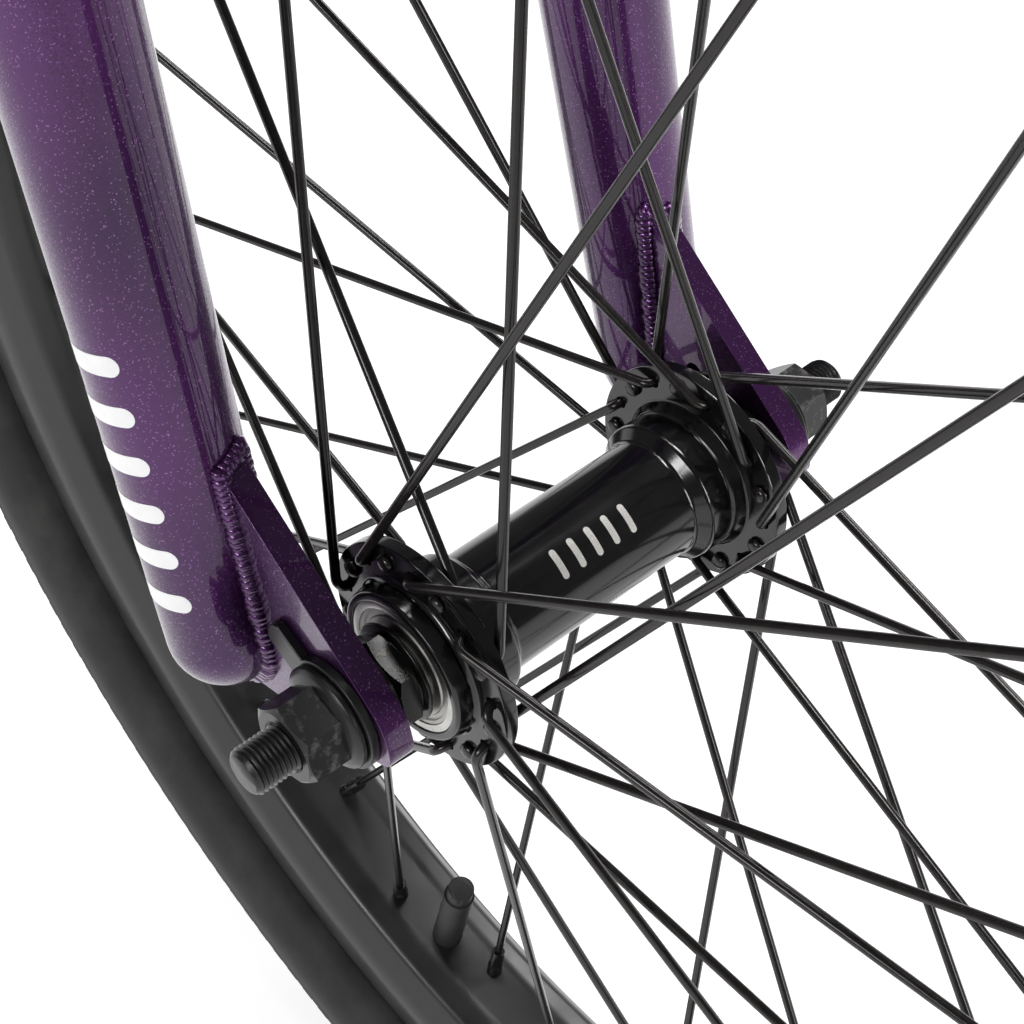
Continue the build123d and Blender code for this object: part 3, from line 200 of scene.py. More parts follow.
@dataclass(frozen=True)
class BlackedSteel:
    """Black oxide on machined steel, rubbed a little brighter on its high spots."""

    name: str = "blacked_steel"
    color: tuple[float, float, float] = (0.012, 0.012, 0.0125)
    worn: tuple[float, float, float] = (0.14, 0.135, 0.13)
    wear: float = 0.87
    roughness: float = 0.3

    def build(self) -> bpy.types.Material:
        """Return the material."""
        g = Graph(self.name)
        patches = g.noise(420.0, 5.0, roughness=0.62)
        edge = g.node("NewGeometry").outputs["Pointiness"]
        rubbed = g.math("ADD", g.math("MULTIPLY", patches, 0.55), edge)
        tone = g.ramp(rubbed, [(self.wear, self.color), (self.wear + 0.3, self.worn)])
        grain = g.noise(2600.0, 2.0)
        return g.finish({"Base Color": tone, "Metallic": 0.35,
                         "Roughness": g.spread(patches, self.roughness * 0.75, self.roughness * 1.35),
                         "Normal": g.bump(grain, 0.02 * MM, 0.35)})


@dataclass(frozen=True)
class BrightSteel:
    """Bare steel, brushed in rings about the axle line."""

    name: str = "bright_steel"
    color: tuple[float, float, float] = (0.56, 0.55, 0.53)
    roughness: float = 0.27
    ring_pitch: float = 0.16 * MM
    centre: tuple[float, float, float] = (0.0, 0.0, 0.0)

    def build(self) -> bpy.types.Material:
        """Return the material."""
        g = Graph(self.name)
        moved = g.node("VectorMath", {0: g.place(), 1: self.centre}, operation="SUBTRACT").outputs[0]
        flat = g.node("VectorMath", {0: moved, 1: (1.0, 0.0, 1.0)}, operation="MULTIPLY").outputs[0]
        radius = g.node("VectorMath", {0: flat}, operation="LENGTH").outputs["Value"]
        rings = g.node("CombineXYZ", {"X": g.math("MULTIPLY", radius, 1.0 / self.ring_pitch)}).outputs[0]
        brushed = g.noise(1.0, 2.0, rings)
        stain = g.noise(240.0, 4.0)
        dark = tuple(c * 0.62 for c in self.color)
        return g.finish({"Base Color": g.ramp(stain, [(0.25, dark), (0.7, self.color)]), "Metallic": 1.0,
                         "Roughness": g.spread(stain, self.roughness * 0.8, self.roughness * 1.4),
                         "Normal": g.bump(brushed, 0.02 * MM, 0.4)})


@dataclass(frozen=True)
class SpokeBlack:
    """Thin glossy black coating on drawn wire."""

    name: str = "spoke_black"
    color: tuple[float, float, float] = (0.01, 0.0085, 0.008)
    roughness: float = 0.22

    def build(self) -> bpy.types.Material:
        """Return the material."""
        g = Graph(self.name)
        mottle = g.noise(700.0, 3.0)
        tone = g.ramp(mottle, [(0.3, self.color), (0.8, tuple(c * 1.8 for c in self.color))])
        return g.finish({"Base Color": tone, "Metallic": 0.3,
                         "Roughness": g.spread(mottle, self.roughness * 0.8, self.roughness * 1.3),
                         "Specular IOR Level": 0.6, "Normal": g.bump(mottle, 0.01 * MM, 0.3)})


@dataclass(frozen=True)
class GlossBlack:
    """Sprayed and baked gloss black with slight orange peel."""

    name: str = "gloss_black"
    color: tuple[float, float, float] = (0.011, 0.011, 0.012)
    roughness: float = 0.2

    def build(self) -> bpy.types.Material:
        """Return the material."""
        g = Graph(self.name)
        peel = g.noise(520.0, 2.0)
        dust = g.noise(38.0, 4.0)
        tone = g.ramp(dust, [(0.3, self.color), (0.85, tuple(c * 1.8 for c in self.color))])
        return g.finish({"Base Color": tone, "Roughness": g.spread(dust, self.roughness * 0.8, self.roughness * 1.5),
                         "Coat Weight": 0.5, "Coat Roughness": 0.06, "Normal": g.bump(peel, 0.04 * MM, 0.25)})


@dataclass(frozen=True)
class MouldedRubber:
    """Matt black rubber with moulding grain and a little dust."""

    name: str = "moulded_rubber"
    color: tuple[float, float, float] = (0.0135, 0.0135, 0.014)
    dusty: tuple[float, float, float] = (0.045, 0.044, 0.042)
    roughness: float = 0.62
    grain: float = 1500.0

    def build(self) -> bpy.types.Material:
        """Return the material."""
        g = Graph(self.name)
        dust = g.noise(55.0, 6.0, roughness=0.65)
        fine = g.noise(self.grain, 3.0)
        return g.finish({"Base Color": g.ramp(dust, [(0.42, self.color), (0.8, self.dusty)]),
                         "Roughness": g.spread(dust, self.roughness * 0.85, min(self.roughness * 1.3, 0.95)),
                         "Specular IOR Level": 0.4, "Normal": g.bump(fine, 0.09 * MM, 0.5)})


@dataclass(frozen=True)
class MouldedPlastic:
    """Black glass-filled nylon with a fine spark-eroded texture."""

    name: str = "moulded_plastic"
    color: tuple[float, float, float] = (0.0155, 0.0155, 0.0165)
    roughness: float = 0.46

    def build(self) -> bpy.types.Material:
        """Return the material."""
        g = Graph(self.name)
        skin = g.node("TexVoronoi", {"Vector": g.place(), "Scale": 1900.0}).outputs["Distance"]
        scuff = g.noise(130.0, 5.0, roughness=0.7)
        tone = g.ramp(scuff, [(0.4, self.color), (0.85, tuple(c * 2.4 for c in self.color))])
        return g.finish({"Base Color": tone, "Roughness": g.spread(scuff, self.roughness * 0.8, self.roughness * 1.4),
                         "Normal": g.bump(skin, 0.05 * MM, 0.4)})


@dataclass(frozen=True)
class WovenFabric:
    """Tight black plain weave, following the cover's own UV map."""

    name: str = "woven_fabric"
    color: tuple[float, float, float] = (0.016, 0.016, 0.018)
    thread: tuple[float, float, float] = (0.052, 0.051, 0.055)
    threads_per_metre: float = 1150.0

    def build(self) -> bpy.types.Material:
        """Return the material."""
        g = Graph(self.name)
        where = g.node("UVMap", uv_map="weave").outputs["UV"]
        warp = g.node("TexWave", {"Vector": where, "Scale": self.threads_per_metre / 6.28, "Distortion": 0.6,
                                  "Detail": 1.0}, bands_direction="X").outputs["Fac"]
        weft = g.node("TexWave", {"Vector": where, "Scale": self.threads_per_metre / 6.28, "Distortion": 0.6,
                                  "Detail": 1.0}, bands_direction="Y").outputs["Fac"]
        weave = g.math("MULTIPLY", warp, weft)
        fuzz = g.noise(900.0, 4.0)
        tone = g.ramp(g.math("ADD", weave, g.math("MULTIPLY", fuzz, 0.25)), [(0.1, self.color), (0.95, self.thread)])
        return g.finish({"Base Color": tone, "Roughness": 0.88, "Sheen Weight": 0.35, "Sheen Roughness": 0.4,
                         "Normal": g.bump(weave, 0.22 * MM, 0.7)})


@dataclass(frozen=True)
class PrintedWhite:
    """White ink under the lacquer of the fork's graphic."""

    name: str = "printed_white"
    color: tuple[float, float, float] = (0.92, 0.92, 0.93)

    def build(self) -> bpy.types.Material:
        """Return the material."""
        g = Graph(self.name)
        tone = g.ramp(g.noise(300.0, 3.0), [(0.2, tuple(c * 0.9 for c in self.color)), (0.8, self.color)])
        return g.finish({"Base Color": tone, "Roughness": 0.42, "Coat Weight": 0.8, "Coat Roughness": 0.05})


@dataclass(frozen=True)
class EtchedMark:
    """Pale frosted mark burnt through black anodising."""

    name: str = "etched_mark"
    color: tuple[float, float, float] = (0.78, 0.76, 0.72)

    def build(self) -> bpy.types.Material:
        """Return the material."""
        g = Graph(self.name)
        hatch = g.noise(4200.0, 2.0)
        tone = g.ramp(hatch, [(0.3, tuple(c * 0.66 for c in self.color)), (0.75, self.color)])
        return g.finish({"Base Color": tone, "Metallic": 0.35, "Roughness": 0.5,
                         "Normal": g.bump(hatch, 0.01 * MM, 0.4)})


class Finish(Enum):
    """Every finish on the bike, by what it coats."""

    PAINT = CandyPaint()
    HUB = PolishedAnodising()
    RIM = PolishedAnodising(name="rim_anodising", color=(0.01, 0.01, 0.0105), roughness=0.3, turning=2500.0)
    STEM = PolishedAnodising(name="stem_anodising", color=(0.009, 0.009, 0.0095), roughness=0.26, turning=1500.0)
    HARDWARE = BlackedSteel()
    CONE = BlackedSteel(name="blacked_cone", color=(0.01, 0.0095, 0.009), worn=(0.12, 0.1, 0.08), wear=0.88,
                        roughness=0.2)
    BEARING = BrightSteel()
    SHIELD = BrightSteel(name="bearing_shield", color=(0.42, 0.41, 0.39), roughness=0.33)
    CHAIN = BrightSteel(name="chain_steel", color=(0.17, 0.165, 0.16), roughness=0.34, ring_pitch=0.5 * MM)
    DRIVER = BrightSteel(name="driver_steel", color=(0.3, 0.29, 0.28), roughness=0.3)
    SPOKE = SpokeBlack()
    ARMS = GlossBlack()
    TYRE = MouldedRubber()
    GRIP = MouldedRubber(name="grip_rubber", color=(0.015, 0.015, 0.016), roughness=0.7, grain=2200.0)
    SEAL = MouldedRubber(name="seal_rubber", color=(0.012, 0.012, 0.012), dusty=(0.03, 0.03, 0.03), roughness=0.5)
    PLASTIC = MouldedPlastic()
    FABRIC = WovenFabric()
    INK = PrintedWhite()
    ETCH = EtchedMark()
    THREAD = PrintedWhite(name="stitch_thread", color=(0.2, 0.19, 0.21))


@lru_cache(maxsize=None)
def material(finish: Finish) -> bpy.types.Material:
    """The finish's material, made once."""
    return finish.value.build()


# ---------------------------------------------------------------- meshes
def new_piece(name: str, verts: Iterable[Sequence[float]], faces: Iterable[Sequence[int]], finish: Finish,
              sharp: float = 32.0) -> bpy.types.Object:
    """Make an object from points and faces.

    Args:
        name: The piece's name.
        verts: Points in metres, in the bike's frame.
        faces: Corner indices, turning outwards.
        finish: Its finish.
        sharp: Angle in degrees above which an edge stays crisp.

    Returns:
        The new object, linked to the scene.
    """
    mesh = bpy.data.meshes.new(name)
    mesh.from_pydata([tuple(v) for v in verts], [], [tuple(f) for f in faces])
    mesh.validate()
    return link_mesh(name, mesh, finish, sharp)


def link_mesh(name: str, mesh: bpy.types.Mesh, finish: Optional[Finish], sharp: float = 32.0) -> bpy.types.Object:
    """Link a mesh as an object, smooth apart from its sharp edges."""
    if finish is not None:
        mesh.materials.clear()
        mesh.materials.append(material(finish))
    mesh.shade_smooth()
    mesh.set_sharp_from_angle(angle=radians(sharp))
    made = bpy.data.objects.new(name, mesh)
    bpy.context.scene.collection.objects.link(made)
    return made


def outward(obj: bpy.types.Object) -> bpy.types.Object:
    """Merge doubles and turn every face outwards."""
    shape = bmesh.new()
    shape.from_mesh(obj.data)
    bmesh.ops.remove_doubles(shape, verts=shape.verts, dist=1e-7)
    bmesh.ops.recalc_face_normals(shape, faces=shape.faces)
    shape.to_mesh(obj.data)
    shape.free()
    return obj


def apply_modifiers(obj: bpy.types.Object) -> bpy.types.Object:
    """Replace the object's mesh with its evaluated one and drop the modifiers."""
    graph = bpy.context.evaluated_depsgraph_get()
    graph.update()
    mesh = bpy.data.meshes.new_from_object(obj.evaluated_get(graph), depsgraph=graph)
    obj.modifiers.clear()
    old = obj.data
    obj.data = mesh
    if old.users == 0:
        bpy.data.meshes.remove(old)
    return obj


def rounded(obj: bpy.types.Object, width: float, segments: int = 2, angle: float = 30.0) -> bpy.types.Object:
    """Soften the crisp edges with a bevel."""
    bevel = obj.modifiers.new("edges", "BEVEL")
    bevel.width = width
    bevel.segments = segments
    bevel.limit_method = "ANGLE"
    bevel.angle_limit = radians(angle)
    bevel.harden_normals = True
    return apply_modifiers(obj)


def joined(name: str, pieces: Sequence[bpy.types.Object]) -> bpy.types.Object:
    """One object from several, keeping each one's material."""
    shape = bmesh.new()
    mesh = bpy.data.meshes.new(name)
    for piece in pieces:
        offset = len(mesh.materials)
        before = len(shape.faces)
        shape.from_mesh(piece.data)
        shape.faces.ensure_lookup_table()
        for face in shape.faces[before:]:
            face.material_index += offset
        for slot_material in piece.data.materials:
            mesh.materials.append(slot_material)
        bpy.data.objects.remove(piece)
    shape.to_mesh(mesh)
    shape.free()
    made = bpy.data.objects.new(name, mesh)
    bpy.context.scene.collection.objects.link(made)
    return made


def side_frame(axis: Vector) -> tuple[Vector, Vector]:
    """Two unit directions square to an axis."""
    first = axis.orthogonal().normalized()
    return first, axis.cross(first).normalized()


def turned(name: str, profile: Profile, centre: Vector, axis: Vector, finish: Finish, segments: int = 96,
           closed: bool = True, sharp: float = 32.0) -> bpy.types.Object:
    """Turn a profile about an axis.

    Args:
        name: The piece's name.
        profile: Distance along the axis and radius, in order round the section.
        centre: Where the distance is zero.
        axis: Unit direction of the axis.
        finish: Its finish.
        segments: Steps round the axis.
        closed: Whether the last point joins the first; otherwise both ends lie on the axis.
        sharp: Angle in degrees above which an edge stays crisp.

    Returns:
        The turned piece.
    """
    first, second = side_frame(axis)
    verts: list[Vector] = []
    count = len(profile)
    for step in range(segments):
        turn = 2 * pi * step / segments
        ray = first * cos(turn) + second * sin(turn)
        verts.extend(centre + axis * along + ray * radius for along, radius in profile)
    spans = count if closed else count - 1
    faces = []
    for step in range(segments):
        here, there = step * count, ((step + 1) % segments) * count
        for index in range(spans):
            following = (index + 1) % count
            faces.append((here + index, here + following, there + following, there + index))
    return outward(new_piece(name, verts, faces, finish, sharp))


def frames_along(points: Points) -> list[tuple[Vector, Vector, Vector]]:
    """Position and two cross directions at every point of a path, without twist."""
    result = []
    previous: Optional[Vector] = None
    for index, point in enumerate(points):
        before = points[max(index - 1, 0)]
        after = points[min(index + 1, len(points) - 1)]
        direction = (after - before).normalized()
        if previous is None:
            normal = direction.orthogonal().normalized()
        else:
            normal = (previous - direction * previous.dot(direction)).normalized()
        previous = normal
        result.append((point, normal, direction.cross(normal).normalized()))
    return result


def tube_mesh(points: Points, radii: Sequence[float], segments: int) -> tuple[list[Vector], list[tuple[int, ...]]]:
    """Points and faces of a round bar along a path, closed at both ends."""
    verts: list[Vector] = []
    faces: list[tuple[int, ...]] = []
    for (centre, first, second), radius in zip(frames_along(points), radii):
        for step in range(segments):
            turn = 2 * pi * step / segments
            verts.append(centre + first * (radius * cos(turn)) + second * (radius * sin(turn)))
    for index in range(len(points) - 1):
        here, there = index * segments, (index + 1) * segments
        for step in range(segments):
            following = (step + 1) % segments
            faces.append((here + step, here + following, there + following, there + step))
    last = (len(points) - 1) * segments
    faces.append(tuple(reversed(range(segments))))
    faces.append(tuple(last + step for step in range(segments)))
    return verts, faces


def bar_along(name: str, points: Points, radius: float | Sequence[float], finish: Finish,
              segments: int = 16) -> bpy.types.Object:
    """Round bar along a path, with one radius or one for each point."""
    radii = [radius] * len(points) if isinstance(radius, (int, float)) else radius
    verts, faces = tube_mesh(points, radii, segments)
    return new_piece(name, verts, faces, finish)


def plate(name: str, outline: Profile, place: Callable[[float, float, float], Vector], low: float, high: float,
          finish: Finish) -> bpy.types.Object:
    """Flat plate from an outline, between two distances along its thickness.

    Args:
        name: The piece's name.
        outline: Corners in the plate's own plane.
        place: Turns plane coordinates and thickness into a point of the bike.
        low: Where one face lies.
        high: Where the other face lies.
        finish: Its finish.

    Returns:
        The plate.
    """
    count = len(outline)
    verts = [place(a, b, level) for level in (low, high) for a, b in outline]
    faces: list[tuple[int, ...]] = [tuple(range(count)), tuple(range(2 * count - 1, count - 1, -1))]
    for index in range(count):
        following = (index + 1) % count
        faces.append((index, index + count, following + count, following))
    return outward(new_piece(name, verts, faces, finish))


def arc(centre: tuple[float, float], radius: float, start: float, end: float, steps: int
        ) -> list[tuple[float, float]]:
    """Points on an arc, with angles in degrees."""
    result = []
    for index in range(steps + 1):
        angle = radians(start + (end - start) * index / steps)
        result.append((centre[0] + radius * cos(angle), centre[1] + radius * sin(angle)))
    return result


def eased(profile: Profile, radius: float, steps: int = 2) -> list[tuple[float, float]]:
    """Round every corner of a closed profile by cutting it back and curving across."""
    count = len(profile)
    result: list[tuple[float, float]] = []
    for index in range(count):
        before, here, after = (Vector(profile[(index + k) % count]) for k in (-1, 0, 1))
        back, on = before - here, after - here
        cut = min(radius, back.length * 0.45, on.length * 0.45)
        start = here + back.normalized() * cut
        end = here + on.normalized() * cut
        for step in range(steps + 1):
            t = step / steps
            point = start * (1 - t) ** 2 + here * (2 * t * (1 - t)) + end * t**2
            result.append((point.x, point.y))
    return result


def bent_path(points: Points, radii: Sequence[float], steps: int = 10) -> list[Vector]:
    """Straight runs joined by arcs of the given radii."""
    result = [points[0].copy()]
    for corner, radius, before, after in zip(points[1:-1], radii, points[:-2], points[2:]):
        back, on = (before - corner).normalized(), (after - corner).normalized()
        half = back.angle(on) / 2
        cut = radius / tan(half)
        middle = corner + (back + on).normalized() * (radius / sin(half))
        first, last = corner + back * cut - middle, corner + on * cut - middle
        turn = first.angle(last)
        axis = first.cross(last).normalized()
        for step in range(steps + 1):
            result.append(middle + Quaternion(axis, turn * step / steps) @ first)
    result.append(points[-1].copy())
    return result


# ---------------------------------------------------------------- repeated shapes
class Pattern:
    """A geometry node tree that lays out copies of a shape."""

    def __init__(self, name: str) -> None:
        """Start a tree that takes a geometry and gives one."""
        self.tree = bpy.data.node_groups.new(name, "GeometryNodeTree")
        self.sockets: dict[str, str] = {}
        self.source = self.tree.nodes.new("NodeGroupInput")
        self.shape = self.input("Geometry", "NodeSocketGeometry")
        self.tree.interface.new_socket(name="Geometry", in_out="OUTPUT", socket_type="NodeSocketGeometry")

    def input(self, name: str, kind: str) -> bpy.types.NodeSocket:
        """Add a named input and return where its value comes out."""
        item = self.tree.interface.new_socket(name=name, in_out="INPUT", socket_type=kind)
        self.sockets[name] = item.identifier
        return self.source.outputs[name]

    def node(self, kind: str, inputs: dict, **settings: object) -> bpy.types.Node:
        """Add a node with its values and links."""
        made = self.tree.nodes.new(kind)
        for key, value in settings.items():
            setattr(made, key, value)
        for key, value in inputs.items():
            if isinstance(value, bpy.types.NodeSocket):
                self.tree.links.new(value, made.inputs[key])
            else:
                made.inputs[key].default_value = value
        return made

    def close(self, instances: bpy.types.NodeSocket) -> None:
        """Make the copies real, give them their finish and end the tree."""
        finish = self.input("Finish", "NodeSocketMaterial")
        real = self.node("GeometryNodeRealizeInstances", {"Geometry": instances}).outputs[0]
        dressed = self.node("GeometryNodeSetMaterial", {"Geometry": real, "Material": finish}).outputs[0]
        self.node("NodeGroupOutput", {"Geometry": dressed})

    def lay_out(self, obj: bpy.types.Object, finish: Finish, **values: object) -> bpy.types.Object:
        """Run the tree on a shape and keep the result as its mesh.

        Args:
            obj: The shape, or the wire that the copies follow.
            finish: The copies' finish.
            values: The tree's named inputs.

        Returns:
            The same object with its new mesh.
        """
        modifier = obj.modifiers.new(self.tree.name, "NODES")
        modifier.node_group = self.tree
        for name, value in {"Finish": material(finish), **values}.items():
            modifier[self.sockets[name]] = value
        return apply_modifiers(obj)


class RingPattern(Pattern):
    """Copies turned about an axis."""

    def __init__(self) -> None:
        """Build the tree."""
        super().__init__("ring_of_copies")
        count = self.input("Count", "NodeSocketInt")
        step = self.input("Step", "NodeSocketFloat")
        centre = self.input("Centre", "NodeSocketVector")
        axis = self.input("Axis", "NodeSocketVector")
        whole = self.node("GeometryNodeGeometryToInstance", {"Geometry": self.shape}).outputs[0]
        copies = self.node("GeometryNodeDuplicateElements", {"Geometry": whole, "Amount": count}, domain="INSTANCE")
        turn = self.node("ShaderNodeMath", {0: copies.outputs["Duplicate Index"], 1: step}, operation="MULTIPLY")
        rotation = self.node("FunctionNodeAxisAngleToRotation", {"Axis": axis, "Angle": turn.outputs[0]})
        placed = self.node("GeometryNodeRotateInstances", {
            "Instances": copies.outputs["Geometry"], "Rotation": rotation.outputs[0], "Pivot Point": centre,
            "Local Space": False})
        self.close(placed.outputs[0])


class RowPattern(Pattern):
    """Copies moved along a line."""

    def __init__(self) -> None:
        """Build the tree."""
        super().__init__("row_of_copies")
        count = self.input("Count", "NodeSocketInt")
        step = self.input("Step", "NodeSocketVector")
        whole = self.node("GeometryNodeGeometryToInstance", {"Geometry": self.shape}).outputs[0]
        copies = self.node("GeometryNodeDuplicateElements", {"Geometry": whole, "Amount": count}, domain="INSTANCE")
        shift = self.node("ShaderNodeVectorMath", {0: step, "Scale": copies.outputs["Duplicate Index"]},
                          operation="SCALE")
        placed = self.node("GeometryNodeTranslateInstances", {
            "Instances": copies.outputs["Geometry"], "Translation": shift.outputs[0], "Local Space": False})
        self.close(placed.outputs[0])


class TrailPattern(Pattern):
    """Beads or stitches that follow a wire, each a little different in size."""

    def __init__(self) -> None:
        """Build the tree."""
        super().__init__("trail_of_copies")
        spacing = self.input("Spacing", "NodeSocketFloat")
        bead = self.input("Bead", "NodeSocketObject")
        smallest = self.input("Smallest", "NodeSocketFloat")
        seed = self.input("Seed", "NodeSocketInt")
        curve = self.node("GeometryNodeMeshToCurve", {"Mesh": self.shape}).outputs[0]
        points = self.node("GeometryNodeResampleCurve", {"Curve": curve, "Length": spacing}, mode="LENGTH").outputs[0]
        shape = self.node("GeometryNodeObjectInfo", {"Object": bead}, transform_space="ORIGINAL")
        tangent = self.node("GeometryNodeInputTangent", {}).outputs[0]
        aligned = self.node("FunctionNodeAlignRotationToVector", {"Vector": tangent}, axis="Z").outputs[0]
        size = self.node("FunctionNodeRandomValue", {2: smallest, 3: 1.0, 8: seed}, data_type="FLOAT").outputs[1]
        placed = self.node("GeometryNodeInstanceOnPoints", {
            "Points": points, "Instance": shape.outputs["Geometry"], "Rotation": aligned, "Scale": size})
        self.close(placed.outputs[0])


@lru_cache(maxsize=None)
def pattern(kind: type) -> Pattern:
    """The pattern's tree, built once."""
    return kind()


def ring_of(obj: bpy.types.Object, finish: Finish, count: int, centre: Vector, axis: Vector = ACROSS
            ) -> bpy.types.Object:
    """Repeat a shape evenly round an axis."""
    return pattern(RingPattern).lay_out(obj, finish, Count=count, Step=2 * pi / count, Centre=tuple(centre),
                                        Axis=tuple(axis))


def lens(name: str, radius: float, half_length: float) -> bpy.types.Object:
    """Small rounded bead whose axis is Z, used only as a model for copies."""
    rings = [(sin(pi * k / 5), -cos(pi * k / 5)) for k in range(1, 5)]
    points = [Vector((0, 0, -half_length))]
    for wide, along in rings:
        points += [Vector((cos(2 * pi * s / 8), sin(2 * pi * s / 8), 0)) * (radius * wide)
                   + UP * (half_length * along) for s in range(8)]
    points.append(Vector((0, 0, half_length)))
    faces: list[tuple[int, ...]] = [(0, 1 + (s + 1) % 8, 1 + s) for s in range(8)]
    for ring in range(3):
        here = 1 + ring * 8
        faces += [(here + s, here + (s + 1) % 8, here + 8 + (s + 1) % 8, here + 8 + s) for s in range(8)]
    faces += [(25 + s, 25 + (s + 1) % 8, 33) for s in range(8)]
    return new_piece(name, points, faces, Finish.PAINT, 180.0)


def trail(name: str, wire: bpy.types.Object, finish: Finish, radius: float, half_length: float, spacing: float,
          smallest: float = 0.85) -> bpy.types.Object:
    """Lay beads along a wire.

    Args:
        name: The piece's name.
        wire: Mesh of edges only; it becomes the piece.
        finish: The beads' finish.
        radius: Half of a bead's width.
        half_length: Half of a bead's length along the wire.
        spacing: Distance between beads.
        smallest: Size of the smallest bead against the largest.

    Returns:
        The beads.
    """
    bead = lens(name + "_bead", radius, half_length)
    wire.name = name
    pattern(TrailPattern).lay_out(wire, finish, Spacing=spacing, Bead=bead, Smallest=smallest, Seed=7)
    bpy.data.objects.remove(bead)
    return wire


def wire_object(name: str, lines: Sequence[Points], closed: bool = False) -> bpy.types.Object:
    """Mesh of edges only, along the given lines."""
    verts: list[Vector] = []
    edges: list[tuple[int, int]] = []
    for line in lines:
        start = len(verts)
        verts.extend(line)
        edges += [(start + k, start + k + 1) for k in range(len(line) - 1)]
        if closed:
            edges.append((len(verts) - 1, start))
    mesh = bpy.data.meshes.new(name)
    mesh.from_pydata([tuple(v) for v in verts], edges, [])
    made = bpy.data.objects.new(name, mesh)
    bpy.context.scene.collection.objects.link(made)
    return made


def merged_copy(node: str) -> bmesh.types.BMesh:
    """A CAD node's mesh with its loose triangles joined."""
    shape = bmesh.new()
    shape.from_mesh(frame["nodes"][node].data)
    bmesh.ops.remove_doubles(shape, verts=shape.verts, dist=2e-6)
    return shape


def contact_wire(name: str, node: str, touches: Callable[[Vector], bool], share: float = 0.93) -> bpy.types.Object:
    """Edges of a CAD node that lie on its neighbour's surface.

    Args:
        name: Name of the wire.
        node: The CAD node whose cut edges are wanted.
        touches: Says whether a point lies on the neighbour.
        share: Loops shorter than this part of the longest are left out, such as those of a bore.

    Returns:
        A mesh of edges only.
    """
    shape = merged_copy(node)
    kept = {v.index for v in shape.verts if touches(v.co)}
    edges = [e for e in shape.edges if e.verts[0].index in kept and e.verts[1].index in kept
             and e.is_manifold and e.calc_face_angle(0.0) > radians(18)]
    neighbours: dict[int, list[bmesh.types.BMEdge]] = {}
    for edge in edges:
        for vert in edge.verts:
            neighbours.setdefault(vert.index, []).append(edge)
    groups = []
    seen: set[int] = set()
    for edge in edges:
        if edge.index in seen:
            continue
        group, queue = [], [edge]
        seen.add(edge.index)
        while queue:
            current = queue.pop()
            group.append(current)
            for vert in current.verts:
                for other in neighbours[vert.index]:
                    if other.index not in seen:
                        seen.add(other.index)
                        queue.append(other)
        groups.append(group)
    lengths = [sum(e.calc_length() for e in group) for group in groups]
    longest = max(lengths, default=0.0)
    lines = [[e.verts[0].co.copy(), e.verts[1].co.copy()]
             for group, length in zip(groups, lengths) if length >= share * longest for e in group]
    shape.free()
    wire = wire_object(name, lines)
    tidy = bmesh.new()
    tidy.from_mesh(wire.data)
    bmesh.ops.remove_doubles(tidy, verts=tidy.verts, dist=2e-6)
    tidy.to_mesh(wire.data)
    tidy.free()
    return wire


def on_cylinder(centre: Vector, axis: Vector, radius: float, slack: float = 0.06 * MM) -> Callable[[Vector], bool]:
    """Test for points that lie on a round tube's skin."""
    return lambda point: abs((point - centre).cross(axis).length - radius) < slack


# ---------------------------------------------------------------- shared parts
def weighted(obj: bpy.types.Object) -> bpy.types.Object:
    """Let large faces set the shading, so that small roundings stay small."""
    settings = obj.modifiers.new("shading", "WEIGHTED_NORMAL")
    settings.keep_sharp = True
    settings.weight = 60
    return apply_modifiers(obj)


def drilled(obj: bpy.types.Object, holes: Sequence[tuple[Vector, Vector, float]], segments: int = 20
            ) -> bpy.types.Object:
    """Cut round holes, each given by its two ends and its radius."""
    cutters = [bar_along("drill", [start, end], radius, Finish.HARDWARE, segments)
               for start, end, radius in holes]
    cutter = outward(joined("drill_set", cutters))
    cut = obj.modifiers.new("holes", "BOOLEAN")
    cut.operation = "DIFFERENCE"
    cut.solver = "EXACT"
    cut.object = cutter
    apply_modifiers(obj)
    bpy.data.objects.remove(cutter)
    return obj


def refined(node: str, finish: Finish, sharp: float = 28.0, bevel: float = 0.0, name: str = "",
            flat: float = 0.6) -> bpy.types.Object:
    """Smooth, joined copy of a CAD node with its edges eased.

    Args:
        node: The CAD node.
        finish: Its finish.
        sharp: Angle in degrees above which an edge stays crisp.
        bevel: Width of the eased edges; zero leaves them.
        name: The new piece's name, the node's with _skin when empty.
        flat: Angle in degrees under which neighbouring triangles become one face.

    Returns:
        The piece that stands for the node.
    """
    shape = merged_copy(node)
    if bevel:
        bmesh.ops.dissolve_limit(shape, angle_limit=radians(flat), verts=shape.verts, edges=shape.edges,
                                 delimit={"NORMAL"})
    mesh = bpy.data.meshes.new(name or node + "_skin")
    shape.to_mesh(mesh)
    shape.free()
    made = link_mesh(mesh.name, mesh, finish, sharp)
    if bevel:
        rounded(made, bevel, 2, sharp)
        made.data.set_sharp_from_angle(angle=radians(sharp + 14))
    return weighted(made)


def mount(piece: bpy.types.Object, body: str, slot: str, *nodes: str) -> bpy.types.Object:
    """Put a finished piece on its body and hide the nodes that it stands for; its slot is not used."""
    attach(piece, body)
    if nodes:
        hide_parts(*nodes)
    log.info("%s: %d faces on %s", piece.name, len(piece.data.polygons), body)
    return piece


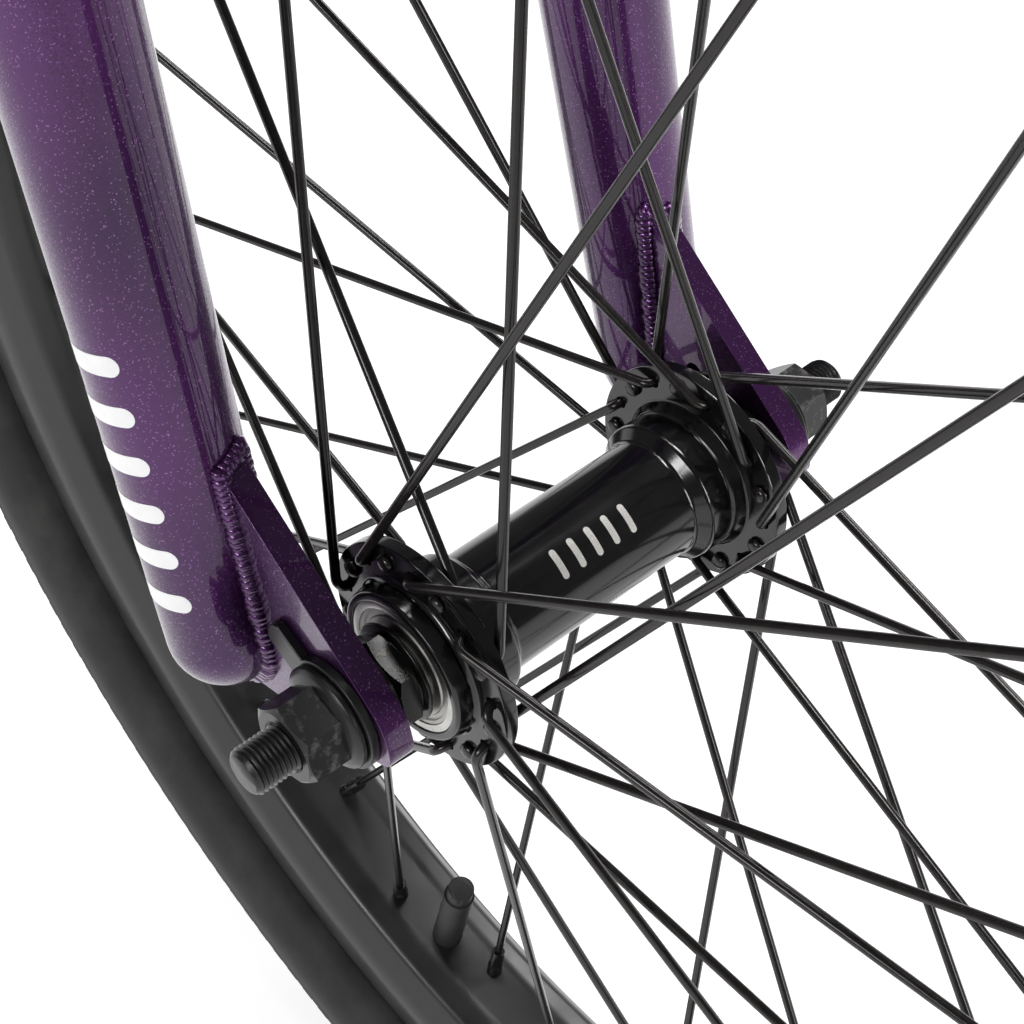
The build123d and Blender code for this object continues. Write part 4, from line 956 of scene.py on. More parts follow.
def hex_ring(name: str, centre: Vector, axis: Vector, low: float, high: float, across_flats: float, bore: float,
             finish: Finish, both: bool = False, chamfer: float = 0.55 * MM) -> bpy.types.Object:
    """Hexagon nut whose corners are turned off at one end, or at both.

    Args:
        name: The piece's name.
        centre: Point that low and high are measured from.
        axis: Direction of the bore.
        low: Start of the nut.
        high: End of the nut, the chamfered one.
        across_flats: Width over its flats.
        bore: Radius of the hole.
        finish: Its finish.
        both: Whether the start is chamfered too.
        chamfer: How much the hole's mouth is opened.

    Returns:
        The nut.
    """
    first, second = side_frame(axis)
    steps = 72
    face_r = across_flats * 0.475
    verts: list[Vector] = []
    for step in range(steps):
        turn = 2 * pi * step / steps
        off = (turn % (pi / 3)) - pi / 6
        corner = across_flats / 2 / cos(off)
        drop = max(corner - face_r, 0.0) * tan(radians(30))
        ray = first * cos(turn) + second * sin(turn)
        start = low + drop if both else low
        levels = [(low, bore), (low, min(face_r, corner)), (start, corner), (high - drop, corner),
                  (high, min(face_r, corner)), (high, bore + chamfer), (high - chamfer, bore)]
        verts += [centre + axis * along + ray * radius for along, radius in levels]
    count = 7
    faces = [(s * count + k, s * count + (k + 1) % count, (s + 1) % steps * count + (k + 1) % count,
              (s + 1) % steps * count + k) for s in range(steps) for k in range(count)]
    return outward(new_piece(name, verts, faces, finish, 18.0))


def threaded(name: str, centre: Vector, axis: Vector, low: float, high: float, radius: float, pitch: float,
             chamfer: float, finish: Finish, steps: int = 36) -> bpy.types.Object:
    """Bar with a real screw thread and a chamfered far end."""
    first, second = side_frame(axis)
    per_turn = 6
    depth = pitch * 0.5
    rows = int((high - low) / pitch * per_turn)
    verts: list[Vector] = []
    for row in range(rows + 1):
        for step in range(steps):
            turn = 2 * pi * step / steps
            along = low + (row / per_turn + step / steps) * pitch
            wave = abs((row % per_turn) / per_turn * 2 - 1)
            along = min(along, high)
            reach = radius - depth * min(wave * 1.25, 1.0)
            reach = min(reach, radius - chamfer + (high - along))
            verts.append(centre + axis * along + (first * cos(turn) + second * sin(turn)) * max(reach, 0.5 * MM))
    faces: list[tuple[int, ...]] = []
    for row in range(rows):
        for step in range(steps - 1):
            here = row * steps + step
            faces.append((here, here + 1, here + steps + 1, here + steps))
    for row in range(rows - per_turn):
        here, seam = row * steps + steps - 1, (row + per_turn) * steps
        faces.append((here, seam, seam + steps, here + steps))
    start_loop = list(range(steps)) + [row * steps for row in range(per_turn, 0, -1)]
    top = rows * steps
    end_loop = [top + step for step in range(steps)] + [
        row * steps + steps - 1 for row in range(rows - 1, rows - per_turn - 1, -1)]
    for loop, along in ((start_loop, low), (end_loop, high)):
        hub = len(verts)
        verts.append(centre + axis * along)
        faces += [(loop[k], loop[(k + 1) % len(loop)], hub) for k in range(len(loop))]
    return outward(new_piece(name, verts, faces, finish, 50.0))


@dataclass(frozen=True)
class Stroke:
    """Round-ended mark on a surface, in the surface's own two directions."""

    start: tuple[float, float]
    end: tuple[float, float]
    half_width: float


def printed(name: str, strokes: Sequence[Stroke], place: Callable[[float, float, float], Vector], lift: float,
            finish: Finish) -> bpy.types.Object:
    """Thin raised marks that follow a surface.

    Args:
        name: The piece's name.
        strokes: The marks.
        place: Turns the two surface directions and a height into a point.
        lift: How far the marks stand proud.
        finish: Their finish.

    Returns:
        All marks as one piece.
    """
    verts: list[Vector] = []
    faces: list[tuple[int, ...]] = []
    columns = 9
    for stroke in strokes:
        start, end = Vector(stroke.start), Vector(stroke.end)
        length = (end - start).length
        along = (end - start).normalized() if length > 0 else Vector((1.0, 0.0))
        aside = Vector((-along.y, along.x))
        wide = stroke.half_width
        tips = [wide * (1 - cos(pi / 2 * k / 5)) for k in range(6)]
        stations = [(-wide + t, sqrt(max(wide**2 - (wide - t) ** 2, 0.0))) for t in tips]
        middle = [(length * k / 24, wide) for k in range(1, 24)] if length > 0 else []
        stations += middle + [(length + wide - t, w) for t, w in
                              ((t, sqrt(max(wide**2 - (wide - t) ** 2, 0.0))) for t in reversed(tips))]
        base = len(verts)
        for height in (lift, -lift):
            for distance, half in stations:
                for column in range(columns):
                    point = start + along * distance + aside * (half * (2 * column / (columns - 1) - 1))
                    verts.append(place(point.x, point.y, height))
        rows = len(stations)
        for layer in (0, rows * columns):
            for row in range(rows - 1):
                for column in range(columns - 1):
                    here = base + layer + row * columns + column
                    faces.append((here, here + 1, here + columns + 1, here + columns))
        under = rows * columns
        for row in range(rows - 1):
            for column in (0, columns - 1):
                here = base + row * columns + column
                faces.append((here, here + columns, here + columns + under, here + under))
    return outward(new_piece(name, verts, faces, finish, 60.0))


def place_of(joint: str) -> Vector:
    """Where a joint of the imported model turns."""
    return next(Vector(j["pos_m"]) for j in frame["joints"] if j["name"] == joint)


STEER = next(Vector(j["axis"]) for j in frame["joints"] if j["name"] == "steering").normalized()
AHEAD = ACROSS.cross(STEER).normalized()
FRONT_AXLE = place_of("front_wheel_spin")
REAR_AXLE = place_of("rear_wheel_spin")
BRACKET = place_of("crank_spin")
STEER_POINT = place_of("steering")
BAR_CENTRE = place_of("bar_roll")
POST_LINE = next(Vector(j["axis"]) for j in frame["joints"] if j["name"] == "seat_height").normalized()
FORK_OFFSET = (FRONT_AXLE - STEER_POINT).dot(AHEAD)


def on_fork(along: float, ahead: float, side: float) -> Vector:
    """Point measured from the front axle in millimetres: along the steering axis, ahead of it and sideways."""
    return FRONT_AXLE + (STEER * along + AHEAD * ahead + ACROSS * side) * MM


def on_steerer(along: float, side: float = 0.0) -> Vector:
    """Point on the steering axis, in millimetres above the front axle's level on it."""
    return FRONT_AXLE - AHEAD * FORK_OFFSET + (STEER * along + ACROSS * side) * MM


def scaled(profile: Profile) -> list[tuple[float, float]]:
    """Profile in millimetres brought to metres."""
    return [(a * MM, b * MM) for a, b in profile]


def mirror_profile(profile: Profile) -> list[tuple[float, float]]:
    """Close a profile with its reflection across the wheel's middle plane."""
    return list(profile) + [(-a, b) for a, b in reversed(profile)]


# ---------------------------------------------------------------- wheels
@dataclass
class Wheel:
    """Rim, tyre, spokes and nipples of one wheel; sizes are millimetres."""

    name: str
    centre: Vector
    flanges: tuple[tuple[float, float], tuple[float, float]]
    count: int = 36
    crosses: int = 3
    spoke_r: float = 1.0
    spoke_end: float = 188.0
    nipple_seat: float = 189.1
    flange_half: float = 1.5
    casing_r: float = 27.7
    casing_middle: float = 225.0
    tread_pitches: int = 104
    phase: float = radians(15)

    @property
    def body(self) -> str:
        """The CAD body that the wheel rides on."""
        return self.name + "_wheel"

    def first_angle(self, side: int) -> float:
        """Where one flange's first spoke hole is; the left flange is half a step on."""
        return self.phase + (0.0 if side < 0 else 2 * pi / self.count)

    def spoke_kinds(self) -> list[tuple[Vector, Vector, Vector]]:
        """Head, bend and end of one spoke of each kind; turning them fills the wheel."""
        kinds = []
        shift = self.crosses * 4 * pi / self.count
        for side, (flange, hole_r) in zip(SIDES, self.flanges):
            for index, outward_sign, turn in ((0, side, -shift), (1, -side, shift)):
                angle = self.first_angle(side) + index * 4 * pi / self.count
                gap = 2.7 if index == 0 else 1.3
                ray = Vector((cos(angle), 0, sin(angle)))
                rim_ray = Vector((cos(angle + turn), 0, sin(angle + turn)))
                bend = ray * hole_r + ACROSS * (flange + outward_sign * (self.flange_half + gap))
                head = ray * hole_r + ACROSS * (flange - outward_sign * (self.flange_half + 0.12))
                end = rim_ray * self.spoke_end + ACROSS * (side * 2.5)
                kinds.append(tuple(self.centre + point * MM for point in (head, bend, end)))
        return kinds

    def build_spokes(self) -> None:
        """Spokes with button heads and bent elbows, in four kinds repeated round the hub."""
        kinds = []
        wire = self.spoke_r * MM
        for head, bend, end in self.spoke_kinds():
            across = (head - bend).normalized()
            button = [(1.25, 0.35), (1.18, 0.95), (0.95, 1.45), (0.6, 1.78), (0.22, 1.86), (0.02, 1.6), (-0.3, 1.0)]
            bend_r = min((head - bend).length * 0.5, 2.7 * MM)
            curve = bent_path([head, bend, end], [bend_r], 8)
            points = [head + across * (a * MM) for a, _ in button] + curve[1:]
            radii = [r * MM for _, r in button] + [wire] * (len(curve) - 1)
            spoke = bar_along("spoke_kind", points, radii, Finish.SPOKE, 12)
            kinds.append(ring_of(spoke, Finish.SPOKE, self.count // 4, self.centre))
        mount(joined(self.name + "_spoke_set", kinds), self.body, "black_spoke_steel", self.name + "_spokes")

    def build_nipples(self) -> None:
        """Nipples with a tapered barrel, a square for the key and a round head in the rim."""
        kinds = []
        barrel = [(-12.0, 1.05), (-12.0, 1.7), (-11.6, 1.9), (-6.4, 1.95), (-6.2, 2.0), (-0.6, 2.05),
                  (0.0, 2.6), (0.7, 2.9), (2.0, 2.8), (2.4, 2.2)]
        for _, bend, end in self.spoke_kinds():
            run = (end - bend).normalized()
            seat = end + run * ((self.nipple_seat - self.spoke_end) * MM)
            points = [seat + run * (a * MM) for a, _ in barrel]
            first, second = side_frame(run)
            verts, faces = [], []
            for point, (along, radius) in zip(points, barrel):
                for step in range(16):
                    turn = 2 * pi * step / 16 + pi / 16
                    flat = 1.62 / max(abs(cos(turn)), abs(sin(turn)))
                    reach = min(radius, flat) if -11.9 < along < -6.3 else radius
                    verts.append(point + (first * cos(turn) + second * sin(turn)) * (reach * MM))
            for row in range(len(barrel) - 1):
                faces += [(row * 16 + s, row * 16 + (s + 1) % 16, (row + 1) * 16 + (s + 1) % 16, (row + 1) * 16 + s)
                          for s in range(16)]
            faces += [tuple(range(16)), tuple((len(barrel) - 1) * 16 + s for s in range(16))]
            nipple = outward(new_piece("nipple_kind", verts, faces, Finish.SPOKE, 35.0))
            kinds.append(ring_of(nipple, Finish.SPOKE, self.count // 4, self.centre))
        mount(joined(self.name + "_nipple_set", kinds), self.body, "black_spoke_steel",
              self.name + "_spoke_nipples")

    def build_rim(self) -> None:
        """Double-wall rim with rounded shoulders and a hooked edge."""
        half = [(0.0, 185.7), (7.0, 186.0), (13.0, 188.0), (17.2, 196.2), (18.0, 199.5), (18.0, 208.6),
                (17.4, 209.2), (15.6, 209.2), (14.9, 208.4), (15.0, 203.0), (10.0, 202.4), (7.5, 200.0),
                (0.0, 199.6)]
        section = eased([p for p in mirror_profile(half) if p[0] != 0.0], 1.6, 3)
        rim = turned(self.name + "_rim_band", scaled(section), self.centre, ACROSS, Finish.RIM, 180)
        mount(weighted(rim), self.body, "rim_alloy", self.name + "_rim")

    def tyre_section(self) -> list[tuple[float, float]]:
        """Casing with moulded ribs on its walls, down to the beads and back inside."""
        radius, middle, neck = self.casing_r, self.casing_middle, 14.6
        half = []
        for k in range(0, 25):
            angle = k * 90 / 24
            rib = 0.55 if k in (16, 19, 20) else 0.0
            half.append(((radius + rib) * sin(radians(angle)), middle + (radius + rib) * cos(radians(angle))))
        half += arc((neck, middle), radius - neck, -10, -90, 8)
        half += [(neck, 204.0), (neck - 2.6, 204.0), (neck - 2.6, middle - radius + neck + 2.4)]
        half += arc((neck, middle), radius - neck - 2.4, -80, -10, 6)
        half += [((radius - 2.4) * sin(radians(a)), middle + (radius - 2.4) * cos(radians(a)))
                 for a in range(90, 0, -10)]
        outer_in = half[1:]
        return [half[0]] + outer_in + [(0.0, middle + radius - 2.4)] + [(-a, b) for a, b in reversed(outer_in)]

    def tread_block(self, tilt: float, half_tilt: float, start: float, length: float, skew: float
                    ) -> tuple[list[Vector], list[tuple[int, ...]]]:
        """One rubber block of the tread, following the casing both ways.

        Args:
            tilt: Angle of the block's middle from the crown, in degrees.
            half_tilt: Half of its width, in degrees.
            start: Where it starts round the wheel, as a part of one pitch.
            length: Its length, as a part of one pitch.
            skew: How far its outer edge runs ahead, as a part of one pitch.

        Returns:
            Its points and faces.
        """
        pitch = 2 * pi / self.tread_pitches
        layers = ((-0.4, 0.0), (0.85, 0.02), (1.2, 0.1))
        verts = []
        for lift, inset in layers:
            for edge, end in ((-1, 0), (1, 0), (1, 1), (-1, 1)):
                lean = radians(tilt + edge * half_tilt * (1 - inset))
                turn = (start + length * (end + (0.5 - end) * inset * 2 * 0.5) + skew * edge) * pitch
                radius = self.casing_middle + (self.casing_r + lift) * cos(lean)
                ray = Vector((cos(turn), 0, sin(turn)))
                point = ray * radius + ACROSS * ((self.casing_r + lift) * sin(lean))
                verts.append(self.centre + point * MM)
        faces: list[tuple[int, ...]] = [(8, 9, 10, 11), (3, 2, 1, 0)]
        for layer in (0, 4):
            faces += [(layer + k, layer + (k + 1) % 4, layer + 4 + (k + 1) % 4, layer + 4 + k) for k in range(4)]
        return verts, faces

    def build_tyre(self) -> None:
        """Casing and a fine tread of small blocks, finer towards the shoulders."""
        section = scaled(self.tyre_section())
        casing = turned(self.name + "_tyre_casing", section, self.centre, ACROSS, Finish.TYRE, 200, sharp=50.0)
        verts: list[Vector] = []
        faces: list[tuple[int, ...]] = []
        rows = [(0.0, 4.6, 0.05, 0.62, 0.0)]
        for side in SIDES:
            rows += [(side * 13.0, 5.0, 0.45, 0.62, side * 0.1), (side * 26.0, 4.8, 0.0, 0.6, side * 0.12),
                     (side * 38.5, 4.6, 0.45, 0.5, side * 0.12), (side * 50.5, 4.2, 0.05, 0.4, side * 0.08),
                     (side * 50.5, 4.2, 0.55, 0.4, side * 0.08), (side * 61.0, 2.6, 0.3, 0.34, 0.0),
                     (side * 61.0, 2.6, 0.8, 0.34, 0.0)]
        for row in rows:
            points, sides = self.tread_block(*row)
            faces += [tuple(len(verts) + k for k in side) for side in sides]
            verts += points
        blocks = outward(new_piece("tread_pitch", verts, faces, Finish.TYRE, 25.0))
        ring_of(blocks, Finish.TYRE, self.tread_pitches, self.centre)
        mount(joined(self.name + "_tyre_tread", [casing, blocks]), self.body, "tyre_rubber", self.name + "_tyre")

    def build_valve(self) -> None:
        """Smooth valve stem and the tube behind it."""
        tube = refined(self.name + "_inner_tube", Finish.SEAL, 35.0)
        mount(tube, self.body, "soft_rubber", self.name + "_inner_tube")

    def build(self) -> None:
        """Build the whole wheel but its hub."""
        self.build_rim()
        self.build_tyre()
        self.build_spokes()
        self.build_nipples()
        self.build_valve()

    def flange_holes(self) -> list[tuple[Vector, Vector, float]]:
        """Spoke holes through both flanges."""
        holes = []
        for side, (flange, hole_r) in zip(SIDES, self.flanges):
            for index in range(self.count // 2):
                angle = self.first_angle(side) + index * 4 * pi / self.count
                ray = Vector((cos(angle), 0, sin(angle))) * hole_r
                ends = [self.centre + (ray + ACROSS * (flange + reach)) * MM for reach in (-2.2, 2.2)]
                holes.append((ends[0], ends[1], 1.32 * MM))
        return holes

    def hub_shell(self, section: Profile) -> bpy.types.Object:
        """Turned hub shell with its spoke holes drilled."""
        corner = 40.0
        shell = turned(self.name + "_hub_body", scaled(section), self.centre, ACROSS, Finish.HUB, 144, sharp=corner)
        drilled(shell, self.flange_holes(), 18)
        shell.data.set_sharp_from_angle(angle=radians(corner))
        return weighted(shell)


def bearing_rings(name: str, centre: Vector, face: float, side: int, outer: float, bore: float, width: float
                  ) -> list[bpy.types.Object]:
    """Sealed bearing: bright outer and inner races and a grooved steel shield between them."""
    back = face - side * width
    races = []
    for low, high in ((bore, bore + 1.9), (outer - 1.65, outer)):
        section = eased([(back, low), (back, high), (face, high), (face, low)], 0.35, 2)
        races.append(turned(name + "_race", scaled(section), centre, ACROSS, Finish.BEARING, 96))
    low, high = bore + 1.95, outer - 1.7
    step = side * 0.34
    grooves = [(back + step, low), (back + step, high), (face - step, high), (face - step, high - 0.7),
               (face - step * 2.2, high - 0.9), (face - step * 2.2, high - 1.7), (face - step * 1.3, high - 1.9),
               (face - step * 1.3, low + 0.9), (face - step * 2.0, low + 0.7), (face - step * 2.0, low)]
    shield = turned(name + "_shield", scaled(grooves), centre, ACROSS, Finish.SHIELD, 96)
    return [*races, shield]


def flanged_nut(name: str, centre: Vector, side: int, flange: Profile, height: float, flats: float, bore: float
                ) -> list[bpy.types.Object]:
    """Turned flange and the hexagon on it.

    Args:
        name: Start of both pieces' names.
        centre: The axle's middle.
        side: 1 on the left end, -1 on the right.
        flange: Section from the seat on: distance out and radius, in millimetres.
        height: Whole height in millimetres.
        flats: Width over the flats in millimetres.
        bore: Radius of the hole in millimetres.

    Returns:
        The flange and the hexagon.
    """
    start = flange[0][0]
    section = scaled([(side * a, r) for a, r in eased(flange, 0.2, 2)])
    collar = turned(name + "_flange", section, centre, ACROSS, Finish.HARDWARE, 96)
    body = hex_ring(name + "_body", centre, ACROSS * side, (start + 1.4) * MM, (start + height) * MM, flats * MM,
                    bore * MM, Finish.HARDWARE)
    return [collar, body]


@dataclass
class FrontHub:
    """Hub shell, bearings and all that holds them in the fork; sizes are millimetres."""

    wheel: Wheel
    barrel_r: float = 12.5
    flange_r: float = 23.8
    flange_face: float = 37.0
    bearing_face: float = 41.1
    plate_outer: float = 55.5
    washer: float = 1.9
    axle_r: float = 4.76
    axle_half: float = 76.9
    nut_flats: float = 15.0
    nut_height: float = 10.6
    bar_count: int = 5
    bar_step: float = 4.4
    bar_reach: float = 2.4
    bar_half: float = 0.7

    def build_shell(self) -> None:
        """Polished shell with turned bands, drilled flanges and an etched mark."""
        face = self.flange_face
        half = [(self.bearing_face - 8.1, 9.0), (self.bearing_face - 8.1, 14.02), (41.35, 14.02), (41.35, 15.4),
                (40.9, 15.8), (38.4, 16.3), (38.2, 16.0), (37.8, 16.0), (face, 16.7), (face, self.flange_r),
                (face - 3.0, self.flange_r), (face - 3.0, 16.2), (31.5, 15.0), (31.2, 14.5), (30.8, 14.5),
                (30.5, 15.0), (25.8, 15.0), (25.2, 14.8), (23.5, 12.7), (22.9, self.barrel_r)]
        section = eased(mirror_profile(half), 0.42, 2)
        mount(self.wheel.hub_shell(section), "front_wheel", "black_alloy", "front_hub_shell")
        levels = [self.bar_step * (k - (self.bar_count - 1) / 2) for k in range(self.bar_count)]
        bars = [Stroke((level, -self.bar_reach), (level, self.bar_reach), self.bar_half) for level in levels]
        middle = radians(56)

        def on_barrel(along: float, round_: float, height: float) -> Vector:
            turn = middle + round_ / self.barrel_r
            ray = Vector((cos(turn), 0, sin(turn))) * (self.barrel_r + height)
            return self.wheel.centre + (ray + ACROSS * along) * MM

        mount(printed("front_hub_mark", bars, on_barrel, 0.03, Finish.ETCH), "front_wheel", "black_alloy")

    def build_bearings(self) -> None:
        """Both sealed bearings."""
        rings = []
        for side in SIDES:
            rings += bearing_rings("front", self.wheel.centre, side * self.bearing_face, side, 14.0, 6.0, 8.0)
        mount(joined("front_bearing_set", rings), "front_wheel", "bearing_steel", "front_hub_bearings")

    def build_cones(self) -> None:
        """Cones: a sleeve in the bearing, a narrow collar and a hexagon for a key."""
        parts = []
        for side in SIDES:
            sleeve = [(34.0, 4.8), (34.0, 5.92), (41.4, 5.92), (41.4, 7.8), (42.0, 7.8), (42.0, 9.9), (42.2, 10.2),
                      (42.8, 10.2), (43.0, 9.9), (43.1, 8.4), (47.2, 8.4), (47.4, 8.2), (50.0, 8.2), (50.0, 4.8)]
            section = scaled([(side * a, r) for a, r in eased(sleeve, 0.25, 2)])
            parts.append(turned("cone_sleeve", section, self.wheel.centre, ACROSS, Finish.CONE, 96))
            parts.append(hex_ring("cone_flats", self.wheel.centre, ACROSS * side, 43.1 * MM, 47.9 * MM, 17.0 * MM,
                                  7.0 * MM, Finish.CONE, both=True))
        mount(joined("front_cone_set", parts), "fork", "black_oxide_steel", "front_cones")

    def build_axle(self) -> None:
        """Axle with a plain middle and threaded ends."""
        parts = [bar_along("axle_core", [FRONT_AXLE - ACROSS * 0.0525, FRONT_AXLE + ACROSS * 0.0525],
                           4.55 * MM, Finish.HARDWARE, 40)]
        for side in SIDES:
            parts.append(threaded("axle_thread", FRONT_AXLE, ACROSS * side, 52.0 * MM, self.axle_half * MM,
                                  self.axle_r * MM, 1.0 * MM, 0.95 * MM, Finish.HARDWARE))
        mount(joined("front_axle_bar", parts), "fork", "black_oxide_steel", "front_axle")

    def build_nuts(self) -> None:
        """Flanged hexagon nuts with turned corners."""
        start = self.plate_outer + self.washer
        parts = []
        for side in SIDES:
            flange = [(start, self.axle_r + 0.1), (start, 10.1), (start + 0.3, 10.5), (start + 1.2, 10.5),
                      (start + 1.9, 9.6), (start + 2.6, 8.0), (start + 2.6, self.axle_r + 0.1)]
            parts += flanged_nut("nut", FRONT_AXLE, side, flange, self.nut_height, self.nut_flats,
                                 self.axle_r + 0.05)
        mount(joined("front_nut_pair", parts), "fork", "black_oxide_steel", "front_axle_nuts")

    def build_washers(self) -> None:
        """Safety washers: a disc with a tab whose hook sits in the dropout."""
        parts = []
        tab = Vector((11.0, -12.2))
        lean = atan2(tab.y, tab.x)
        tip = tab.length + 3.0
        for side in SIDES:
            low, high = self.plate_outer * side, (self.plate_outer + self.washer) * side
            shape = arc((0, 0), 11.4, degrees(lean) + 17, degrees(lean) + 343, 60)
            corner = [(tip - 1.2, -3.2), (tip, -1.4), (tip, 1.4), (tip - 1.2, 3.2)]
            shape += [(a * cos(lean) - b * sin(lean), a * sin(lean) + b * cos(lean)) for a, b in corner]
            body = plate("washer_disc", shape, on_fork, low, high, Finish.HARDWARE)
            drilled(body, [(on_fork(0, 0, low - side * 2), on_fork(0, 0, high + side * 2),
                            (self.axle_r + 0.05) * MM)], 40)
            parts.append(rounded(body, 0.35 * MM, 2, 40))
            hook = bar_along("washer_hook", [on_fork(tab.x, tab.y, low - side * 3.5), on_fork(tab.x, tab.y, low)],
                             1.8 * MM, Finish.HARDWARE, 20)
            parts.append(hook)
        mount(joined("front_washer_pair", parts), "fork", "black_oxide_steel", "front_safety_washers")

    def build(self) -> None:
        """Build the hub and its fastening."""
        self.build_shell()
        self.build_bearings()
        self.build_cones()
        self.build_axle()
        self.build_nuts()
        self.build_washers()


# ---------------------------------------------------------------- fork
@dataclass
class Fork:
    """Two tapered legs with dropouts, their welds, the steerer and the graphic; sizes are millimetres."""

    foot: float = 4.0
    foot_r: float = 11.3
    top: float = 236.0
    top_r: float = 14.6
    bend: float = 283.0
    foot_y: float = 57.3
    top_y: float = 51.5
    root: tuple[float, float] = (294.0, 9.0)
    plate_inner: float = 50.0
    plate_outer: float = 55.5
    slot_r: float = 4.91
    bar_count: int = 6
    bar_start: float = 14.0
    bar_step: float = 10.0
    bar_back: float = -8.0
    bar_front: float = 6.0
    bar_half: float = 2.0

    def leg_point(self, along: float, side: int) -> Vector:
        """Point on a leg's straight axis."""
        lean = (self.top_y - self.foot_y) / (self.top - self.foot)
        return on_steerer(along, side * (self.foot_y + lean * (along - self.foot)))

    def leg_radius(self, along: float) -> float:
        """Radius of the leg in metres."""
        part = min((along - self.foot) / (self.top - self.foot), 1.0)
        return (self.foot_r + (self.top_r - self.foot_r) * part) * MM

    def build_leg(self, side: int) -> bpy.types.Object:
        """Leg with a domed foot, a straight taper and a bend in to the steerer."""
        foot = self.leg_point(self.foot, side)
        upward = (self.leg_point(self.top, side) - foot).normalized()
        radius = self.foot_r * MM
        points = [foot - upward * (radius * cos(radians(a))) for a in range(4, 90, 7)]
        radii = [radius * sin(radians(a)) for a in range(4, 90, 7)]
        for k in range(0, 21):
            along = self.foot + (self.top - self.foot) * k / 20
            points.append(self.leg_point(along, side))
            radii.append(self.leg_radius(along))
        route = [self.leg_point(self.top, side), self.leg_point(self.bend, side),
                 on_steerer(self.root[0], side * self.root[1])]
        crown = bent_path(route, [27.0 * MM], 14)[1:]
        return bar_along("fork_leg", points + crown, radii + [self.top_r * MM] * len(crown), Finish.PAINT, 96)

    def plate_outline(self) -> list[tuple[float, float]]:
        """Dropout seen from the side, with its open slot for the axle."""
        slot = self.slot_r
        low = -8.4
        corners = [(54.0, -33.0), (46.0, -22.5), (2.5, 13.4), (-7.5, 13.4)]
        rounded_part = eased(corners + [(-9.5, -33.0)], 4.2, 6)
        split = next(k for k, point in enumerate(rounded_part) if point[0] < -6.0 and point[1] < 9.0)
        mouth = [(low, slot + 0.6), (low + 0.7, slot), *arc((0, 0), slot, 90, -90, 24), (low + 0.7, -slot),
                 (low - 0.5, -slot - 0.6)]
        return rounded_part[:split] + mouth + rounded_part[split:]

    def build_dropouts(self) -> None:
        """Thick plates with rounded edges and a hole for the safety washer's hook."""
        plates = []
        for side in SIDES:
            low, high = side * self.plate_inner, side * self.plate_outer
            body = plate("fork_plate", self.plate_outline(), on_fork, low, high, Finish.PAINT)
            drilled(body, [(on_fork(11.0, -12.2, low - side * 2), on_fork(11.0, -12.2, high + side * 2),
                            2.1 * MM)], 24)
            plates.append(weighted(rounded(body, 1.8 * MM, 5, 35)))
        mount(joined("fork_plate_pair", plates), "fork", "purple_paint", "fork_dropouts")

    def build_welds(self) -> None:
        """Weld beads where the plates meet the legs and the legs meet the steerer."""
        trails = []
        for side in SIDES:
            foot = self.leg_point(self.foot, side)
            upward = (self.leg_point(self.top, side) - foot).normalized()
            slope = (self.top_r - self.foot_r) / (self.top - self.foot)

            def on_leg(point: Vector) -> bool:
                along = (point - foot).dot(upward)
                if along > 0:
                    radius = self.foot_r * MM + slope * along
                    gap = (point - foot).cross(upward).length - radius
                else:
                    gap = (point - foot).length - self.foot_r * MM
                return abs(gap) < 0.12 * MM and (point - foot).dot(ACROSS) * side > -12.0 * MM

            wire = contact_wire("fork_weld", "fork_dropouts", on_leg, 0.05)
            if wire.data.edges:
                trails.append(trail("fork_weld", wire, Finish.PAINT, 2.5 * MM, 1.7 * MM, 1.3 * MM, 0.8))
        collar = on_cylinder(on_steerer(0), STEER, 14.3 * MM, 0.12 * MM)
        crown = contact_wire("crown_weld", "fork_legs", collar, 0.6)
        trails.append(trail("crown_weld", crown, Finish.PAINT, 2.3 * MM, 1.2 * MM, 1.5 * MM))
        mount(joined("fork_welds", trails), "fork", "purple_paint")

    def build_graphic(self) -> None:
        """Row of equal white bars square across the outer face of both legs."""
        marks = []
        levels = [self.bar_start + self.bar_step * k for k in range(self.bar_count)]
        strokes = [Stroke((level, self.bar_back), (level, self.bar_front), self.bar_half) for level in levels]
        for side in SIDES:
            foot = self.leg_point(self.foot, side)
            upward = (self.leg_point(self.top, side) - foot).normalized()
            outside = (ACROSS * side - upward * (ACROSS * side).dot(upward)).normalized()
            front = upward.cross(outside) * side
            front = front if front.dot(AHEAD) > 0 else -front

            def on_leg(along: float, round_: float, height: float) -> Vector:
                radius = self.foot_r + (self.top_r - self.foot_r) * along / (self.top - self.foot)
                turn = round_ / radius
                ray = (outside * cos(turn) + front * sin(turn)) * (radius + height)
                return foot + (upward * along + ray) * MM

            marks.append(printed("leg_marks", strokes, on_leg, 0.05, Finish.INK))
        mount(joined("fork_leg_marks", marks), "fork", "purple_paint")

    def build(self) -> None:
        """Build the fork."""
        legs = [self.build_leg(side) for side in SIDES]
        mount(joined("fork_leg_pair", legs), "fork", "purple_paint", "fork_legs")
        self.build_dropouts()
        self.build_welds()
        self.build_graphic()
        mount(refined("fork_steerer", Finish.PAINT, 30.0), "fork", "purple_paint", "fork_steerer")


